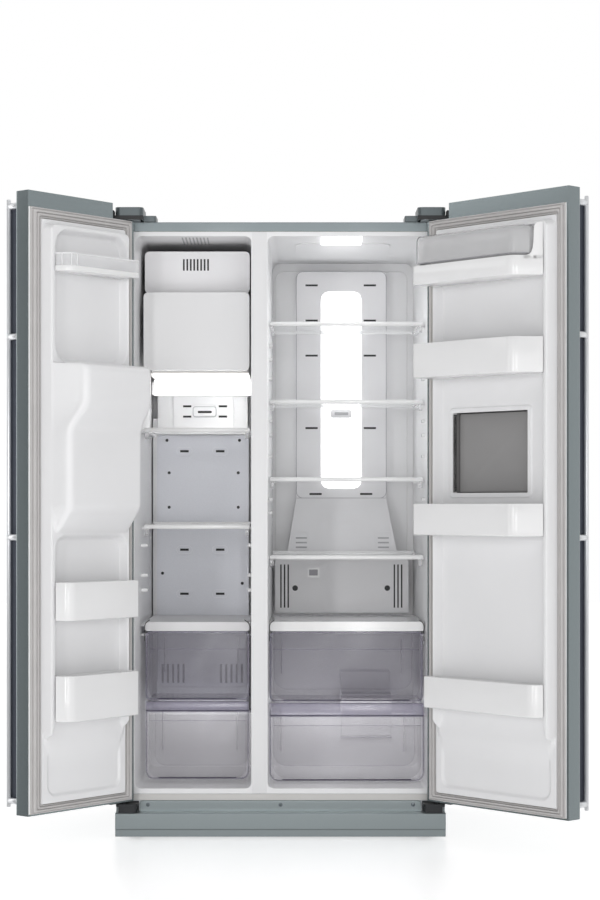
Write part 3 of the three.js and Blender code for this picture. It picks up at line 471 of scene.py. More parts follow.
def bulge_height(u, z):
    """Height of the dispenser's bulge, with round edges at its hinge side and its free side."""
    if not BULGE_Z[0] < z < BULGE_Z[-1] or not BULGE_HINGE <= u < BULGE_END:
        return 0.0
    top = table(z, BULGE_Z, BULGE_V)
    foot = table(z, BULGE_Z, BULGE_FREE)
    free_r = 12 + top / 12
    hinge_r = 13 + top / 12
    base = DOOR_LINER["crest"] - 1
    if u > foot:
        return mix(top - free_r, base, (u - foot) / (BULGE_END - foot)) if top - free_r > base else 0.0
    if u > foot - free_r:
        x = (u - (foot - free_r)) / free_r
        return top - free_r + free_r * math.sqrt(max(0.0, 1 - min(1, x) ** 2))
    if u < BULGE_HINGE + hinge_r:
        x = 1 - (u - BULGE_HINGE) / hinge_r
        return top - hinge_r + hinge_r * math.sqrt(max(0.0, 1 - x * x))
    return top


def spaced(stops):
    """Values from the first stop to the last, each stretch with its own step."""
    out = [stops[0][0]]
    for (a, step), (b, _) in zip(stops, stops[1:]):
        n = max(1, round((b - a) / step))
        out += [a + (b - a) * i / n for i in range(1, n + 1)]
    return out


def height_field(us, zs, height, back=0.4):
    """A closed shape over a grid of u and z, its front at the given heights and its back flat."""
    points = [(u, max(back + 0.1, height(u, z)), z) for z in zs for u in us]
    n, rows = len(us), len(zs)
    faces = []
    for k in range(rows - 1):
        faces += [[k * n + i, k * n + i + 1, (k + 1) * n + i + 1, (k + 1) * n + i] for i in range(n - 1)]
    rim = list(range(n)) + [k * n + n - 1 for k in range(1, rows)]
    rim += [(rows - 1) * n + i for i in range(n - 2, -1, -1)] + [k * n for k in range(rows - 2, 0, -1)]
    base = len(points)
    points += [(points[i][0], back, points[i][2]) for i in rim]
    m = len(rim)
    faces += [[rim[i], base + i, base + (i + 1) % m, rim[(i + 1) % m]] for i in range(m)]
    faces.append([base + i for i in range(m)])
    return points, faces


def freezer_door_liner():
    plain = liner_height("L", [(1297, WELL["top"], 48), (WELL["foot"], 839, 42)])
    us = spaced([(40, 1), (44, 4), (50, 1.2), (92, 6), (296, 1.2), (355, 1)])
    zs = spaced([(130, 1.2), (134, 3), (184, 7), (300, 4), (352, 12), (800, 4), (1108, 3), (1270, 1.2),
                 (1300, 3), (1345, 12), (1600, 3), (1655, 2), (1675, 1)])
    shape = height_field(us, zs, lambda u, z: max(plain(u, z), bulge_height(u, z)))
    piece("freezer_door_liner_smooth", shape, LEFT, "freezer_door", LINER, "white_liner",
          ["freezer_door_liner"], angle=60)


WINDOW = (111, 380, 952, 1169)
WINDOW_FRAME = {"width": 14, "rise": 3.2}
FLAP_SEAT = (92.4, 398.6, 929.4, 1190.6)


def grown(rect, d):
    """A rectangle (u0, u1, z0, z1) with every side moved out by d."""
    u0, u1, z0, z1 = rect
    return u0 - d, u1 + d, z0 - d, z1 + d


def fridge_door_liner():
    """The liner with the raised frame round its window, and the window cut through it."""
    plain = liner_height("R", [(WELL["foot"], WELL["top"], 44)])

    def height(u, z):
        width = WINDOW_FRAME["width"]
        d = rect_distance(u, z, *grown(WINDOW, width), width)
        return plain(u, z) + WINDOW_FRAME["rise"] * ramp(d, 0, -3) if d < 0 else plain(u, z)

    us = spaced([(40, 1), (44, 4), (50, 1.5), (60, 4), (76, 7), (90, 1.5), (102, 6), (106, 2), (116, 8),
                 (376, 2), (386, 6), (390, 1.5), (400, 6), (436, 2), (472, 1)])
    zs = spaced([(130, 1.2), (134, 3), (184, 7), (300, 4), (352, 14), (930, 1.5), (958, 10), (1163, 1.5),
                 (1188, 14), (1600, 3), (1655, 2), (1675, 1)])
    made = piece("fridge_door_liner_smooth", height_field(us, zs, height), RIGHT, "fridge_door", LINER,
                 "white_liner", ["fridge_door_liner"], angle=60)
    cutter_shape = along_y(round_rect(*WINDOW, 3, 4), -60, 60)
    cutter = piece("window_cutter", cutter_shape, RIGHT, "fridge_door", LINER, "white_liner")
    hole = made.modifiers.new("window", "BOOLEAN")
    hole.object = cutter
    hole.solver = "EXACT"
    bpy.context.view_layer.update()
    done = bpy.data.meshes.new_from_object(made.evaluated_get(bpy.context.evaluated_depsgraph_get()))
    made.modifiers.clear()
    made.data = done
    smooth(done, 50)
    bpy.data.objects.remove(cutter)


def window_rings():
    """The lining of the flap's seat, and the collar that runs through the door round the window."""
    rims = [round_rect(*rect, 3, 4) for rect in (FLAP_SEAT, grown(FLAP_SEAT, -0.8), grown(WINDOW, 1))]
    steps = ((0, -50.6), (0, -22.3), (2, -22.3), (2, -23.1), (1, -23.1), (1, -50.6))
    lining = loft([[(u, v, z) for u, z in rims[k]] for k, v in steps], loop=True)
    piece("home_bar_seat_lining", lining, RIGHT, "fridge_door", SMOKE, "smoke_grey_plastic", bevel=0.2)
    rims = [round_rect(*grown(WINDOW, 3 - k), 5 - k, 4) for k in (0, 3)]
    steps = ((0, -20.5), (1, -20.5), (1, 14.6), (0, 13.2))
    collar = loft([[(u, v, z) for u, z in rims[k]] for k, v in steps], loop=True)
    piece("home_bar_window_collar", collar, RIGHT, "fridge_door", SMOKE, "smoke_grey_plastic", bevel=0.5)


# ---------------------------------------------------------------- door seals
SEAL_PROFILE = [(0, 0.4), (0, 2.6), (0.04, 3.4), (0.12, 3.4), (0.14, 1.8), (0.2, 1.8), (0.22, 6.5),
                (0.28, 8.8), (0.36, 9.1), (0.46, 8.6), (0.5, 4.2), (0.54, 4.2), (0.58, 8.6), (0.68, 9.1),
                (0.78, 8.2), (0.82, 2.6), (0.9, 2.6), (0.93, 6.4), (1.0, 6.6), (1.0, 0.4)]
SEAL_OUTER_Z = (108.4, 1702)
SEAL_INNER_Z = (129.6, 1675.4)


def seal(name, place, body, outer, inner, node):
    """A magnetic seal: a foot, a hollow tube pressed flat, and a lip against the liner."""
    rings = []
    for t, v in SEAL_PROFILE:
        rect = [mix(o, i, t) for o, i in zip(outer + SEAL_OUTER_Z, inner + SEAL_INNER_Z)]
        rings.append([(u, v, z) for u, z in round_rect(*rect, mix(2.5, 7.4, t), 6)])
    piece(name, loft(rings, loop=True), place, body, SEAL, "grey_seal", [node], angle=28)


freezer_door_liner()
fridge_door_liner()
window_rings()
seal("freezer_door_seal", LEFT, "freezer_door", (8.4, 386.6), (39.6, 355.4), "freezer_door_gasket")
seal("fridge_door_seal", RIGHT, "fridge_door", (8.4, 493.6), (39.6, 472.4), "fridge_door_gasket")


# ---------------------------------------------------------------- door handles and edges
BAR_V = -96
BAR_Z = (119, 1729)
BAR_R = 6.0
POST_V = (-93, -50.4)
POST_R = 8.3
POST_HEIGHTS = (136, 834, 1365, 1711)
LIP_Z = (140, 1707)
EDGE_HIGHLIGHT_Z = (109, 1701.6)


def handle(name, place, body, u, band):
    """A round bar on stout posts; behind it a lip whose dark grey is painted shade of the handle's inner
    side, and along the door's edge a white strip that is a painted highlight on the steel fold.
    """
    posts = [rod(POST_R, *POST_V, "y", (u, z), 20, 1.2) for z in POST_HEIGHTS]
    bar = rod(BAR_R, *BAR_Z, "z", (u, BAR_V), 24, 1.2)
    piece(name + "_bar", merge(bar, *posts), place, body, ALUMINIUM, "aluminium", [name], angle=50)
    # The lip's dark grey is painted shade of the handle's inner side.
    lip = [(u - 12, -98), (u - 4, -98), (u - 4, -95.4), (u - 9, -95.4), (u - 9, -69), (u - 12, -69)]
    piece(name + "_shade_lip", along_z(lip, *LIP_Z), place, body, SLATE_DARK, "metallic_paint", bevel=0.7)
    # A white strip along the door's edge: a painted highlight on the steel fold.
    edge_highlight = box(*band, 0.1, 0.9, *EDGE_HIGHLIGHT_Z)
    piece(name + "_edge_highlight", edge_highlight, place, body, WHITE, "white_plastic", bevel=0.3)
    cam = box(30, 74, -40, -14, 98.2, 101.6)
    piece(name + "_cam_plate", cam, place, body, BLACK_METAL, "black_metal", bevel=1.2)


handle("freezer_door_handle", LEFT, "freezer_door", 375, (387.4, 393.8))
handle("fridge_door_handle", RIGHT, "fridge_door", 485, (494.4, 498.4))
piece("home_bar_inner_skin", plate_y(*grown(WINDOW, -2), 5, 0, 1.3, 0.7, 4),
      lambda u, v, z: RIGHT(u, -10.6 - v, z), "home_bar_door", FLAP, "smoke_grey_plastic")


# ---------------------------------------------------------------- door bins
BIN_SEAT = 44
BIN_TURN = 20
BIN_WALL = 2.6
BIN_FILLET = 3.5
LEAN_LEFT = 0.5
LEAN_RIGHT = 0.843


def bent(a, b, c, n=10):
    """Points of a soft corner from a to c, drawn towards b."""
    return [tuple(p * (1 - t) ** 2 + 2 * q * t * (1 - t) + r * t * t for p, q, r in zip(a, b, c))
            for t in (i / n for i in range(n + 1))]


def bin_corner(u1, v1, lean):
    """The soft corner between a bin's front and its slanting free side, with a short straight at each end."""
    u = u1 - lean * (v1 - BIN_SEAT)
    side = math.hypot(lean, 1)
    k, q = BIN_TURN / side, (BIN_TURN + 1) / side
    curve = bent((u + lean * k, v1 - k), (u, v1), (u - BIN_TURN, v1))
    return [(u + lean * q, v1 - q)] + curve + [(u - BIN_TURN - 1, v1)]


def bin_outline(u0, u1, v1, back, lean):
    """Straight front, soft corner and slanting side; the back steps in between the borders."""
    plan = [(u0, BIN_SEAT), (back[0], BIN_SEAT), (back[0], 18), (back[1], 18), (back[1], BIN_SEAT)]
    return plan + [(u1, BIN_SEAT)] + bin_corner(u1, v1, lean) + [(u0 + 4, v1), (u0, v1 - 4)]


LEFT_BIN = dict(u0=63, u1=338, back=(70, 325), lean=LEAN_LEFT)
RIGHT_BIN = dict(u0=47, u1=456, back=(70, 442), lean=LEAN_RIGHT)
TOP_PLAN = dict(LEFT_BIN, v1=84)
BINS = {
    "freezer_bin_top": (LEFT, "clear_plastic", MILKY, TOP_PLAN, 1535, 1582),
    "freezer_bin_middle": (LEFT, "white_plastic", WHITE, dict(LEFT_BIN, v1=82), 615, 716),
    "freezer_bin_bottom": (LEFT, "white_plastic", WHITE, dict(LEFT_BIN, v1=82), 350, 470),
    "fridge_bin_1": (RIGHT, "white_plastic", WHITE, dict(RIGHT_BIN, v1=107), 1515, 1566),
    "fridge_bin_2": (RIGHT, "white_plastic", WHITE, dict(RIGHT_BIN, v1=107), 1263, 1356),
    "fridge_bin_3": (RIGHT, "white_plastic", WHITE, dict(RIGHT_BIN, v1=107), 838, 923),
    "fridge_bin_4": (RIGHT, "white_plastic", WHITE, dict(RIGHT_BIN, v1=68, u0=49), 369, 454),
}
for bin_name, (place, slot_name, paint, plan, z0, z1) in BINS.items():
    shape = tray(bin_outline(**plan), z0, z1, BIN_WALL, BIN_FILLET)
    piece(bin_name + "_tray", shape, place, bin_name, paint, slot_name, [bin_name], angle=40)

EAR_FOOT = 1556
EAR_TOPS = [(84, 1565), (77, 1566), (71, 1569), (67, 1575), (64.4, 1585), (63, 1600), (62.4, 1630),
            (61, 1643), (57, 1650), (51, 1652), (44.2, 1652)]
LID_TOP = 1647.8
LID_FOOT = 1571.2
LID_FRONT = 101.8
LID_WALL = 2.4
LID_FILLET = 20


def dairy_ears():
    """The two ears that carry the lid: a flat one at the hinge end and one along the slanting side."""
    ear = [(44, 1552), (100, 1552), (100, 1562)]
    for i in range(1, 9):
        a = math.pi / 2 * i / 8
        ear.append((100 - 26 * math.sin(a), 1562 + 40 * (1 - math.cos(a))))
    ear += [(70, 1640), (58, 1652), (44, 1652)]
    piece("dairy_ear_hinge", along_x(ear, 49, 52), RIGHT, "fridge_bin_1", WHITE, "white_plastic", bevel=0.6)
    rings = []
    for v, top in EAR_TOPS:
        u = RIGHT_BIN["u1"] - LEAN_RIGHT * (v - BIN_SEAT)
        inner = (u - 2.1, v - 1.8)
        rings.append([(u, v, EAR_FOOT), (u, v, top), (*inner, top), (*inner, EAR_FOOT)])
    piece("dairy_ear_free", loft(rings), RIGHT, "fridge_bin_1", WHITE, "white_plastic", bevel=0.8)


def dairy_lid():
    """The clear lid with its round edges, and a lower lip, end arch and rod along its top in a darker grey
    that is painted shade along the lid's edges.
    """
    plan = [(58.2, 46.5), (430, 46.5), (430, 67.5)] + bin_corner(449.8, LID_FRONT, LEAN_RIGHT)
    plan += [(62.2, LID_FRONT), (58.2, 97.8)]
    shell = tray(plan, 0, LID_TOP - LID_FOOT, LID_WALL, LID_FILLET)
    piece("dairy_lid_clear", shell, lambda u, v, z: RIGHT(u, v, LID_TOP - z), "dairy_lid", CLEAR,
          "clear_plastic", ["dairy_lid"], angle=30)
    # Lower lip, end arch and top rod: painted shade along the clear lid's edges.
    steps = ((-0.4, 1571), (-0.4, 1573.2), (2.9, 1573.2), (2.9, 1571))
    lip = loft([[(u, v, z) for u, v in inset(plan, d)] for d, z in steps], loop=True)
    crown, front = LID_TOP + 0.1, LID_FRONT + 0.1
    arch = [(46.6, crown), (82, crown)] + bent((82, crown), (front, crown), (front, 1628), 6)
    arch.append((front, 1573.4))
    end = along_x(arch + [(v - LID_WALL, z - LID_WALL) for v, z in arch[::-1]], 57, 58.1)
    top_rod = rod(1.0, 80, 430, "x", (47.6, 1647.6), 10, 0.4)
    piece("dairy_lid_edge_shade", merge(lip, end, top_rod), RIGHT, "dairy_lid", LID_EDGE_SHADE, "clear_plastic", angle=40)


def top_bin_trim():
    """The white band at the foot of the clear freezer bin, and its rim and three rods in its corner in a
    paler, less clear plastic that is a painted highlight on the bin's edges.
    """
    outline = bin_outline(**TOP_PLAN)
    band = tray(inset(outline, -0.35), 1534.6, 1549, 3.2, 2.0)
    piece("freezer_bin_top_rail", band, LEFT, "freezer_bin_top", WHITE, "white_plastic", angle=40)
    # Rim and corner rods: a painted highlight on the clear bin's edges and corner.
    steps = ((-0.5, 1579), (-0.5, 1582.3), (3.2, 1582.3), (3.2, 1579))
    rim = loft([[(u, v, z) for u, v in inset(outline, d)] for d, z in steps], loop=True)
    ribs = [rod(1.7, 1549.5, 1580, "z", at, 10, 0.4) for at in ((330, 60), (316, 81.5), (299, 84.2))]
    piece("freezer_bin_top_rim_highlight", merge(rim, *ribs), LEFT, "freezer_bin_top", MILKY_HIGHLIGHT, "clear_plastic",
          angle=40)


dairy_ears()
dairy_lid()
top_bin_trim()


# ---------------------------------------------------------------- shelves and drawers
SHELVES = ["freezer_shelf_upper", "freezer_shelf_lower", "fridge_shelf_1", "fridge_shelf_2",
           "fridge_shelf_3", "fridge_shelf_4"]


def shelf(name):
    """A glass sheet in a white frame with a round front bar, both sized from the shelf's CAD node."""
    lo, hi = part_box(name)
    x0, x1 = (lo.x - ORIGIN.x) / MM, (hi.x - ORIGIN.x) / MM
    y0, y1 = (lo.y - ORIGIN.y) / MM, (hi.y - ORIGIN.y) / MM
    z = hi.z / MM - 5
    pad = 5 if name.startswith("fridge") else 0
    front = []
    for i in range(9):
        a = math.pi * (0.5 + i / 8)
        front.append((y0 + 4.2 + 4.2 * math.cos(a), z - 6.2 + 6.2 * math.sin(a)))
    bar = along_x([(y0 + 11, z - 0.4), *front, (y0 + 11, z - 12.2)], x0, x1)
    profile = [(y1 - 8, z - 5.9), (y1, z - 5.9), (y1, z + 4), (y1 - 1.5, z + 5), (y1 - 5, z + 5),
               (y1 - 8, z + 1)]
    rear = along_x(profile, x0 + pad, x1 - pad)
    sides = [along_y([(a, z - 6), (b, z - 6), (b, z - 0.2), (a, z - 0.2)], y0 + 9, y1 - 6)
             for a, b in ((x0 + pad, x0 + pad + 6), (x1 - pad - 6, x1 - pad))]
    piece(name + "_frame", merge(bar, rear, *sides), cabinet, name, WHITE, "white_plastic", [name], bevel=0.8)
    sheet = box(x0 + pad + 4, x1 - pad - 4, y0 + 6, y1 - 5, z - 5, z - 0.9)
    piece(name + "_glass", sheet, cabinet, name, GLASS, "shelf_glass", bevel=0.4)


for shelf_name in SHELVES:
    shelf(shelf_name)


def trough(x0, x1, z0, z1, r, wall, n=8):
    """A U-shaped outline in x and z with round lower corners."""
    def side(d):
        pts = [(x0 + d, z1)]
        for cx, start in ((x0 + r, 180), (x1 - r, 270)):
            for i in range(n + 1):
                a = math.radians(start + 90 * i / n)
                pts.append((cx + (r - d) * math.cos(a), z0 + r + (r - d) * math.sin(a)))
        return pts + [(x1 - d, z1)]
    return side(0), side(wall)


FRONT_THICK = 2.6
FRONT_RIM = 4
TUB_WALL = 2.4


def drawer(name, x, y0, y1, z0, z1, r, lip, tint, lift=3, deep=40):
    """A clear front over a tub, with a rolled lip and hanging rims; pale rods at the tub's rear corners are
    painted highlights, a dark rod under the lip is painted shade, and a dark strip runs along the face's
    foot.
    """
    x0, x1 = x
    face = plate_y(x0, x1, z0, z1, r, y0, y0 + FRONT_THICK, 0.8, 8)
    outer = round_rect(x0, x1, z0, z1, r, 8)
    inner = round_rect(*grown((x0, x1, z0, z1), -FRONT_RIM), r - FRONT_RIM, 8)
    rings = [(outer, y0 + 2.8), (outer, y0 + 6), (inner, y0 + 6), (inner, y0 + 2.8)]
    border = loft([[(a, y, b) for a, b in ring] for ring, y in rings], loop=True)
    a, b = trough(x0 + 8, x1 - 8, z0 + lift, z1 - 4, deep, TUB_WALL)
    tub = loft([[(p, y, q) for p, q in a + b[::-1]] for y in (y0 + 6.2, y1 - TUB_WALL - 0.2)])
    back = loft([[(p, y, q) for p, q in a] for y in (y1 - TUB_WALL, y1)])
    piece(name + "_clear", merge(face, tub, back), cabinet, name, tint, "tinted_drawer", [name], angle=35)
    edge = [border]
    for p, q in ((x0 + 3, x0 + 7.8), (x1 - 7.8, x1 - 3)):
        edge.append(along_y([(p, z1 - 8), (q, z1 - 8), (q, z1 - 4), (p, z1 - 4)], y0 + 6.5, y1))
    edge.append(rod(0.9, x0 + 9, x1 - 9, "x", (y0 + 7.2, z1 - max(lip, 20) - 30), 8))
    dark_lines = [plate_y(x0 + 36, x1 - 36, z0 + 3, z0 + 6.4, 1.6, y0 - 2.6, y0 - 0.1, 0.8, 3)]
    if lip:
        profile = [(y0 - 0.1, z1 - lip - 5), (y0 - 8, z1 - lip), (y0 - 9, z1 - lip + 3), (y0 - 9, z1 - 4),
                   (y0 - 7.6, z1 - 1.4), (y0 - 5, z1 - 0.6), (y0 - 0.1, z1 - 0.6)]
        thin = [(y0 - 0.1, z1 - lip - 2.6), (y0 - 6, z1 - lip + 1.4), (y0 - 6.8, z1 - lip + 4),
                (y0 - 6.8, z1 - 5), (y0 - 5.6, z1 - 3.2), (y0 - 4, z1 - 2.6), (y0 - 0.1, z1 - 2.6)]
        rolled = along_x(profile + thin[::-1], x0 + 1, x1 - 1)
        piece(name + "_lip", rolled, cabinet, name, TINT_LIP, "tinted_drawer", angle=50)
        # A dark rod under the rolled lip: painted shade under the lip.
        dark_lines.append(rod(1.3, x0 + 1, x1 - 1, "x", (y0 - 7.6, z1 - lip + 0.2), 8, 0.4))
    piece(name + "_edges", merge(*edge), cabinet, name, TINT_EDGE, "tinted_drawer", angle=40)
    piece(name + "_dark_lines", merge(*dark_lines), cabinet, name, TINT_DARK, "tinted_drawer", angle=40)
    # Pale rods at the tub's rear corners: painted highlights.
    highlight_rods = [rod(2.0, z0 + 50, z1 - 42, "z", (x, y1 - 6), 10, 0.8) for x in (x0 + 31, x1 - 41)]
    piece(name + "_corner_highlights", merge(*highlight_rods), cabinet, name, CLEAR, "clear_plastic", angle=50)


drawer("freezer_drawer_upper", (-380.5, -88.5), 92, 478, 370, 563.5, 14, 0, TINT, deep=26)
drawer("freezer_drawer_lower", (-380.5, -89), 92, 385, 147, 367, 22, 26, TINT_PALE, deep=30)
drawer("crisper_upper", (-30, 401), 102, 470, 364.5, 562, 14, 0, TINT)
drawer("crisper_lower", (-31, 405), 100, 385, 140, 362, 24, 36, TINT_PALE, lift=8)


# ---------------------------------------------------------------- small parts of the cabinet
def detail(name, shapes, paint, slot, body="cabinet", place=cabinet, bevel=0.0, angle=35):
    """A piece made of several shapes, on the cabinet unless said otherwise."""
    return piece(name, merge(*shapes), place, body, paint, slot, bevel=bevel, angle=angle)


def frame_y(x0, x1, z0, z1, r, width, y0, y1, n=5):
    """A flat picture frame with round corners, facing -y."""
    outer = round_rect(x0, x1, z0, z1, r, n)
    inner = round_rect(x0 + width, x1 - width, z0 + width, z1 - width, max(0.6, r - width), n)
    rings = [(outer, y0), (outer, y1), (inner, y1), (inner, y0)]
    return loft([[(a, y, b) for a, b in ring] for ring, y in rings], loop=True)


def circle_y(x, y, z, r, n):
    """A circle of n points in the plane at depth y."""
    turns = [2 * math.pi * i / n for i in range(n)]
    return [(x + r * math.cos(a), y, z + r * math.sin(a)) for a in turns]


def screw(x, y, z, r=4.6):
    """A round head facing -y with a shallow dish in it."""
    steps = ((r, 0), (r, -0.9), (r - 0.9, -1.5), (r * 0.48, -1.5), (r * 0.4, -0.8))
    return loft([circle_y(x, y + d, z, radius, 18) for radius, d in steps])


def ring_y(x, z, r0, r1, y0, y1):
    """A flat ring facing -y."""
    return loft([circle_y(x, y, z, r, 20) for r, y in ((r1, y0), (r1, y1), (r0, y1), (r0, y0))], loop=True)


SLOT_ROWS = (1083, 786, 653)
SLOT_COLUMNS = (-292, -184)
# Places of the freezer panel's round holes, where black discs stand in for their shade.
PANEL_HOLES = [(-344.6, 1116), (-125.8, 1116), (-338, 1018), (-129.6, 1018), (-338, 914), (-129.6, 914),
                (-358, 715), (-117.5, 684.5)]
TRIM_SCREWS = (-368, 0, 368)
TRIM_SCREW_Z = 88.5

# Black plates behind the vents: painted shade standing in for the dark air gaps.
detail("ice_maker_vent_painted_shade", [box(-280, -198, 113, 114.4, 1579, 1620)], BLACK, "black_plastic", bevel=0.3)
slots = [box(x - 15, x + 15, 507.4, 509, z - 5, z + 5) for z in SLOT_ROWS for x in SLOT_COLUMNS]
slots += [box(x, x + 78, 507.4, 509, 381, 444) for x in (-364, -188)]
detail("freezer_panel_vents_painted_shade", slots, BLACK, "black_plastic", bevel=0.3)
slots = [box(x - 2, x + 27, 495, 496.5, z - 5, z + 5) for x in (-295.5, -188) for z in (1218, 1187)]
detail("freezer_duct_vents_painted_shade", slots, BLACK, "black_plastic", bevel=0.3)
slots = [box(x - 2, x + 39, 506, 507.5, z - 5, z + 5) for z in (1583.5, 1477.4, 1371.5, 1152.9)
         for x in (73.3, 249)]
slots += [box(x - 2, x + 39, 506, 507.5, 948, 960) for x in (85.4, 238)]
detail("fridge_duct_vents_painted_shade", slots, BLACK, "black_plastic", bevel=0.3)
slots = [box(x, x + 34, 481.2, 482.6, 608, 746) for x in (-6, 334)]
slots += [rod(10, 481.2, 482.6, "y", (x, 671), 20) for x in (42, 319)]
detail("fridge_cover_vents_painted_shade", slots, BLACK, "black_plastic", bevel=0.3)

# Black dished discs in the freezer panel's eight round holes: painted shade in the holes. Screws in the strip
# under the cavities.
heads = [screw(x, 504.9, z) for x, z in PANEL_HOLES]
detail("freezer_panel_hole_shade", heads, BLACK, "black_plastic", angle=50)
heads = [screw(x, -2.1, TRIM_SCREW_Z, 3.6) for x in TRIM_SCREWS]
detail("base_trim_screws", heads, PAINT, "metallic_paint", angle=50)
seats = [ring_y(x, TRIM_SCREW_Z, 3.9, 5.6, -2.9, -2.1) for x in TRIM_SCREWS]
detail("base_trim_screw_seats", seats, SLATE_DARK, "black_metal")

# The freezer's lamp under its hood, and the strip beside the silver panel. The hood's faint glow is painted
# light; the hood is no lamp.
detail("freezer_lamp_hood", [box(-378, -91, 150, 436, 1295.9, 1297.2)], HOOD_PAINTED_GLOW, "lamp_diffuser", bevel=0.3)
strip = box(-387, -371, 505.6, 507.2, 482, 1182)
detail("freezer_panel_side_fills", [strip], SATIN, "satin_plastic", bevel=0.3)
lamp = plate_y(-378, -91, 1247.5, 1295.5, 4, 436.2, 437.6, 0.6, 4)
detail("freezer_lamp_diffuser", [lamp], LAMP, "lamp_diffuser")

# Plain badges: a frame or a plate, and a smaller plate in it.
badge = frame_y(-266, -195, 1185, 1217.5, 8, 2, 488.6, 489.4)
detail("freezer_duct_emblem", [badge], GREY, "satin_plastic", bevel=0.25)
badge = plate_y(-251, -209, 1197.5, 1204, 2.4, 488.4, 489.4, 0.4, 3)
detail("freezer_duct_emblem_bar", [badge], BLACK, "black_plastic")
badge = plate_y(149, 213, 1183, 1209, 7, 496, 497.4, 0.8)
detail("fridge_lens_emblem", [badge], SATIN, "satin_plastic")
badge = plate_y(161, 202, 1191.5, 1200.5, 2.4, 495.2, 495.9, 0.3, 3)
detail("fridge_lens_emblem_bar", [badge], GREY, "black_plastic")
badge = frame_y(79, 115, 704, 732, 2.5, 5, 473.8, 474.9)
detail("fridge_cover_emblem", [badge], WHITE, "white_plastic", bevel=0.3)
badge = plate_y(84.2, 109.8, 709.2, 726.8, 1.5, 474.1, 474.9, 0.2, 3)
detail("fridge_cover_emblem_inside", [badge], GAP_SHADE_AND_BADGE_GREY, "satin_plastic")


def ceiling(y):
    """Height of the liners' ceiling at depth y."""
    return 1666.5 - 2.5 * y / 60 if y < 60 else 1664 - 0.018 * (y - 60)


def on_ceiling(outline, gap, thick):
    """A flat plate hung from the ceiling, following its slope."""
    return loft([[(x, y, ceiling(y) - d) for x, y in outline] for d in (gap, gap + thick)])


# Ceiling: lamp, duct outline and the freezer's small ribs.
lamp = [[(x, y, ceiling(y) - d) for x, d in ((114, 0.2), (227, 0.2), (227, deep), (114, deep))] for y, deep in
        ((6, 0.9), (35.8, 0.9), (36, 7), (40, 8.4), (104, 8.4), (114, 6), (118, 0.8))]
detail("fridge_ceiling_lamp", [loft(lamp)], LAMP, "lamp_diffuser", bevel=0.6)
duct = on_ceiling(round_rect(42, 312, 124, 408, 40, 8), 0.15, 2.2)
detail("fridge_ceiling_duct", [duct], LINER, "white_liner", bevel=0.5)
ribs = []
for k in range(8):
    x = -276 + 10 * k
    ribs.append(on_ceiling([(x, 24), (x + 4.4, 24), (x + 4.4, 150), (x, 150)], 0.1, 1.3))
detail("freezer_ceiling_ribs", ribs, GREY, "satin_plastic", bevel=0.4)

# Back wall border; a grey outline round the duct panel and a grey strip on its crease, which are painted
# shade in the gap and the crease; louvre frames.
border = frame_y(-19, 384, 597, 1631, 24, 3, 557.2, 559.8)
detail("fridge_back_border", [border], WHITE, "white_plastic", bevel=0.9)
border = frame_y(45.2, 317.8, 941, 1625.5, 20, 1.7, 502.4, 503.6, 6)
detail("fridge_duct_gap_shade", [border], GAP_SHADE_AND_BADGE_GREY, "satin_plastic", bevel=0.2)
crease_shade = box(46.5, 316, 502.3, 502.9, 941, 942.6)
detail("fridge_duct_crease_shade", [crease_shade], GREY, "satin_plastic", bevel=0.15)


def sloped(x, y, z):
    """Places a plate drawn flat at y 0 on the sloping foot of the duct."""
    return cabinet(x, y + 452 + (z - 783) * 51 / 157, z)


louvres = [frame_y(a, b, 785, 841, 7, 1.8, -1.4, -0.2) for a, b in ((31.5, 83), (280, 331.5))]
detail("fridge_duct_louvre_frames", louvres, SATIN, "satin_plastic", place=sloped, bevel=0.3)
blades = [box(x - 1, x + 34, 0.9, 1.8, z - 2.2, z + 2.2) for x in (44, 290) for z in (822, 808, 794)]
detail("fridge_duct_louvre_blades", blades, GREY, "satin_plastic", place=sloped, bevel=0.3)

# Dark feet of the hinge covers and the levers over the doors' notches.
for word, side in (("left", -1), ("right", 1)):
    skirt = [box(*sorted((side * 378, side * 455.2)), -51.4, -50.3, 1705.8, 1717),
             box(*sorted((side * 455.6, side * 456.8)), -51.4, 60, 1705.8, 1717)]
    detail("hinge_cover_skirt_" + word, skirt, BLACK, "black_plastic", bevel=0.3)
    lever = box(*sorted((side * 457, side * 468)), -54, -22, 1706, 1731)
    detail("hinge_lever_" + word, [lever], BLACK_METAL, "black_metal", bevel=1.5)

# Raised rings round the silver panel's slots, paler than the panel: a painted highlight on the ovals' rims.
oval_highlights = [frame_y(x - 24.3, x + 24.3, z - 13.3, z + 13.3, 12.8, 2.2, 501.8, 502.8, 6) for z in SLOT_ROWS
         for x in SLOT_COLUMNS]
detail("freezer_panel_oval_highlights", oval_highlights, SILVER_HIGHLIGHT, "silver_panel", bevel=0.3)

# Cover strips of the mullion and of the bottom rail.
detail("mullion_strip", [box(-79, -38, -0.6, -0.1, 120, 1677)], RAIL_WHITE, "white_plastic", bevel=0.2)
detail("bottom_rail_cover", [box(-429, 429, -0.55, -0.1, 101, 117.6)], RAIL, "satin_plastic", bevel=0.15)

# A box of the air duct behind the crisper drawers, standing over the step of the liner.
air_box = [(388, 237), (394.3, 237), (394.3, 301), (556, 301), (556, 421), (474, 421), (474, 360.5),
           (388, 360.5)]
detail("fridge_air_box", [along_x(air_box, 178, 327)], SATIN, "satin_plastic", bevel=2.0)
detail("fridge_air_box_lip", [box(176, 329, 387.2, 394.3, 230, 236.6)], GREY, "satin_plastic", bevel=0.8)

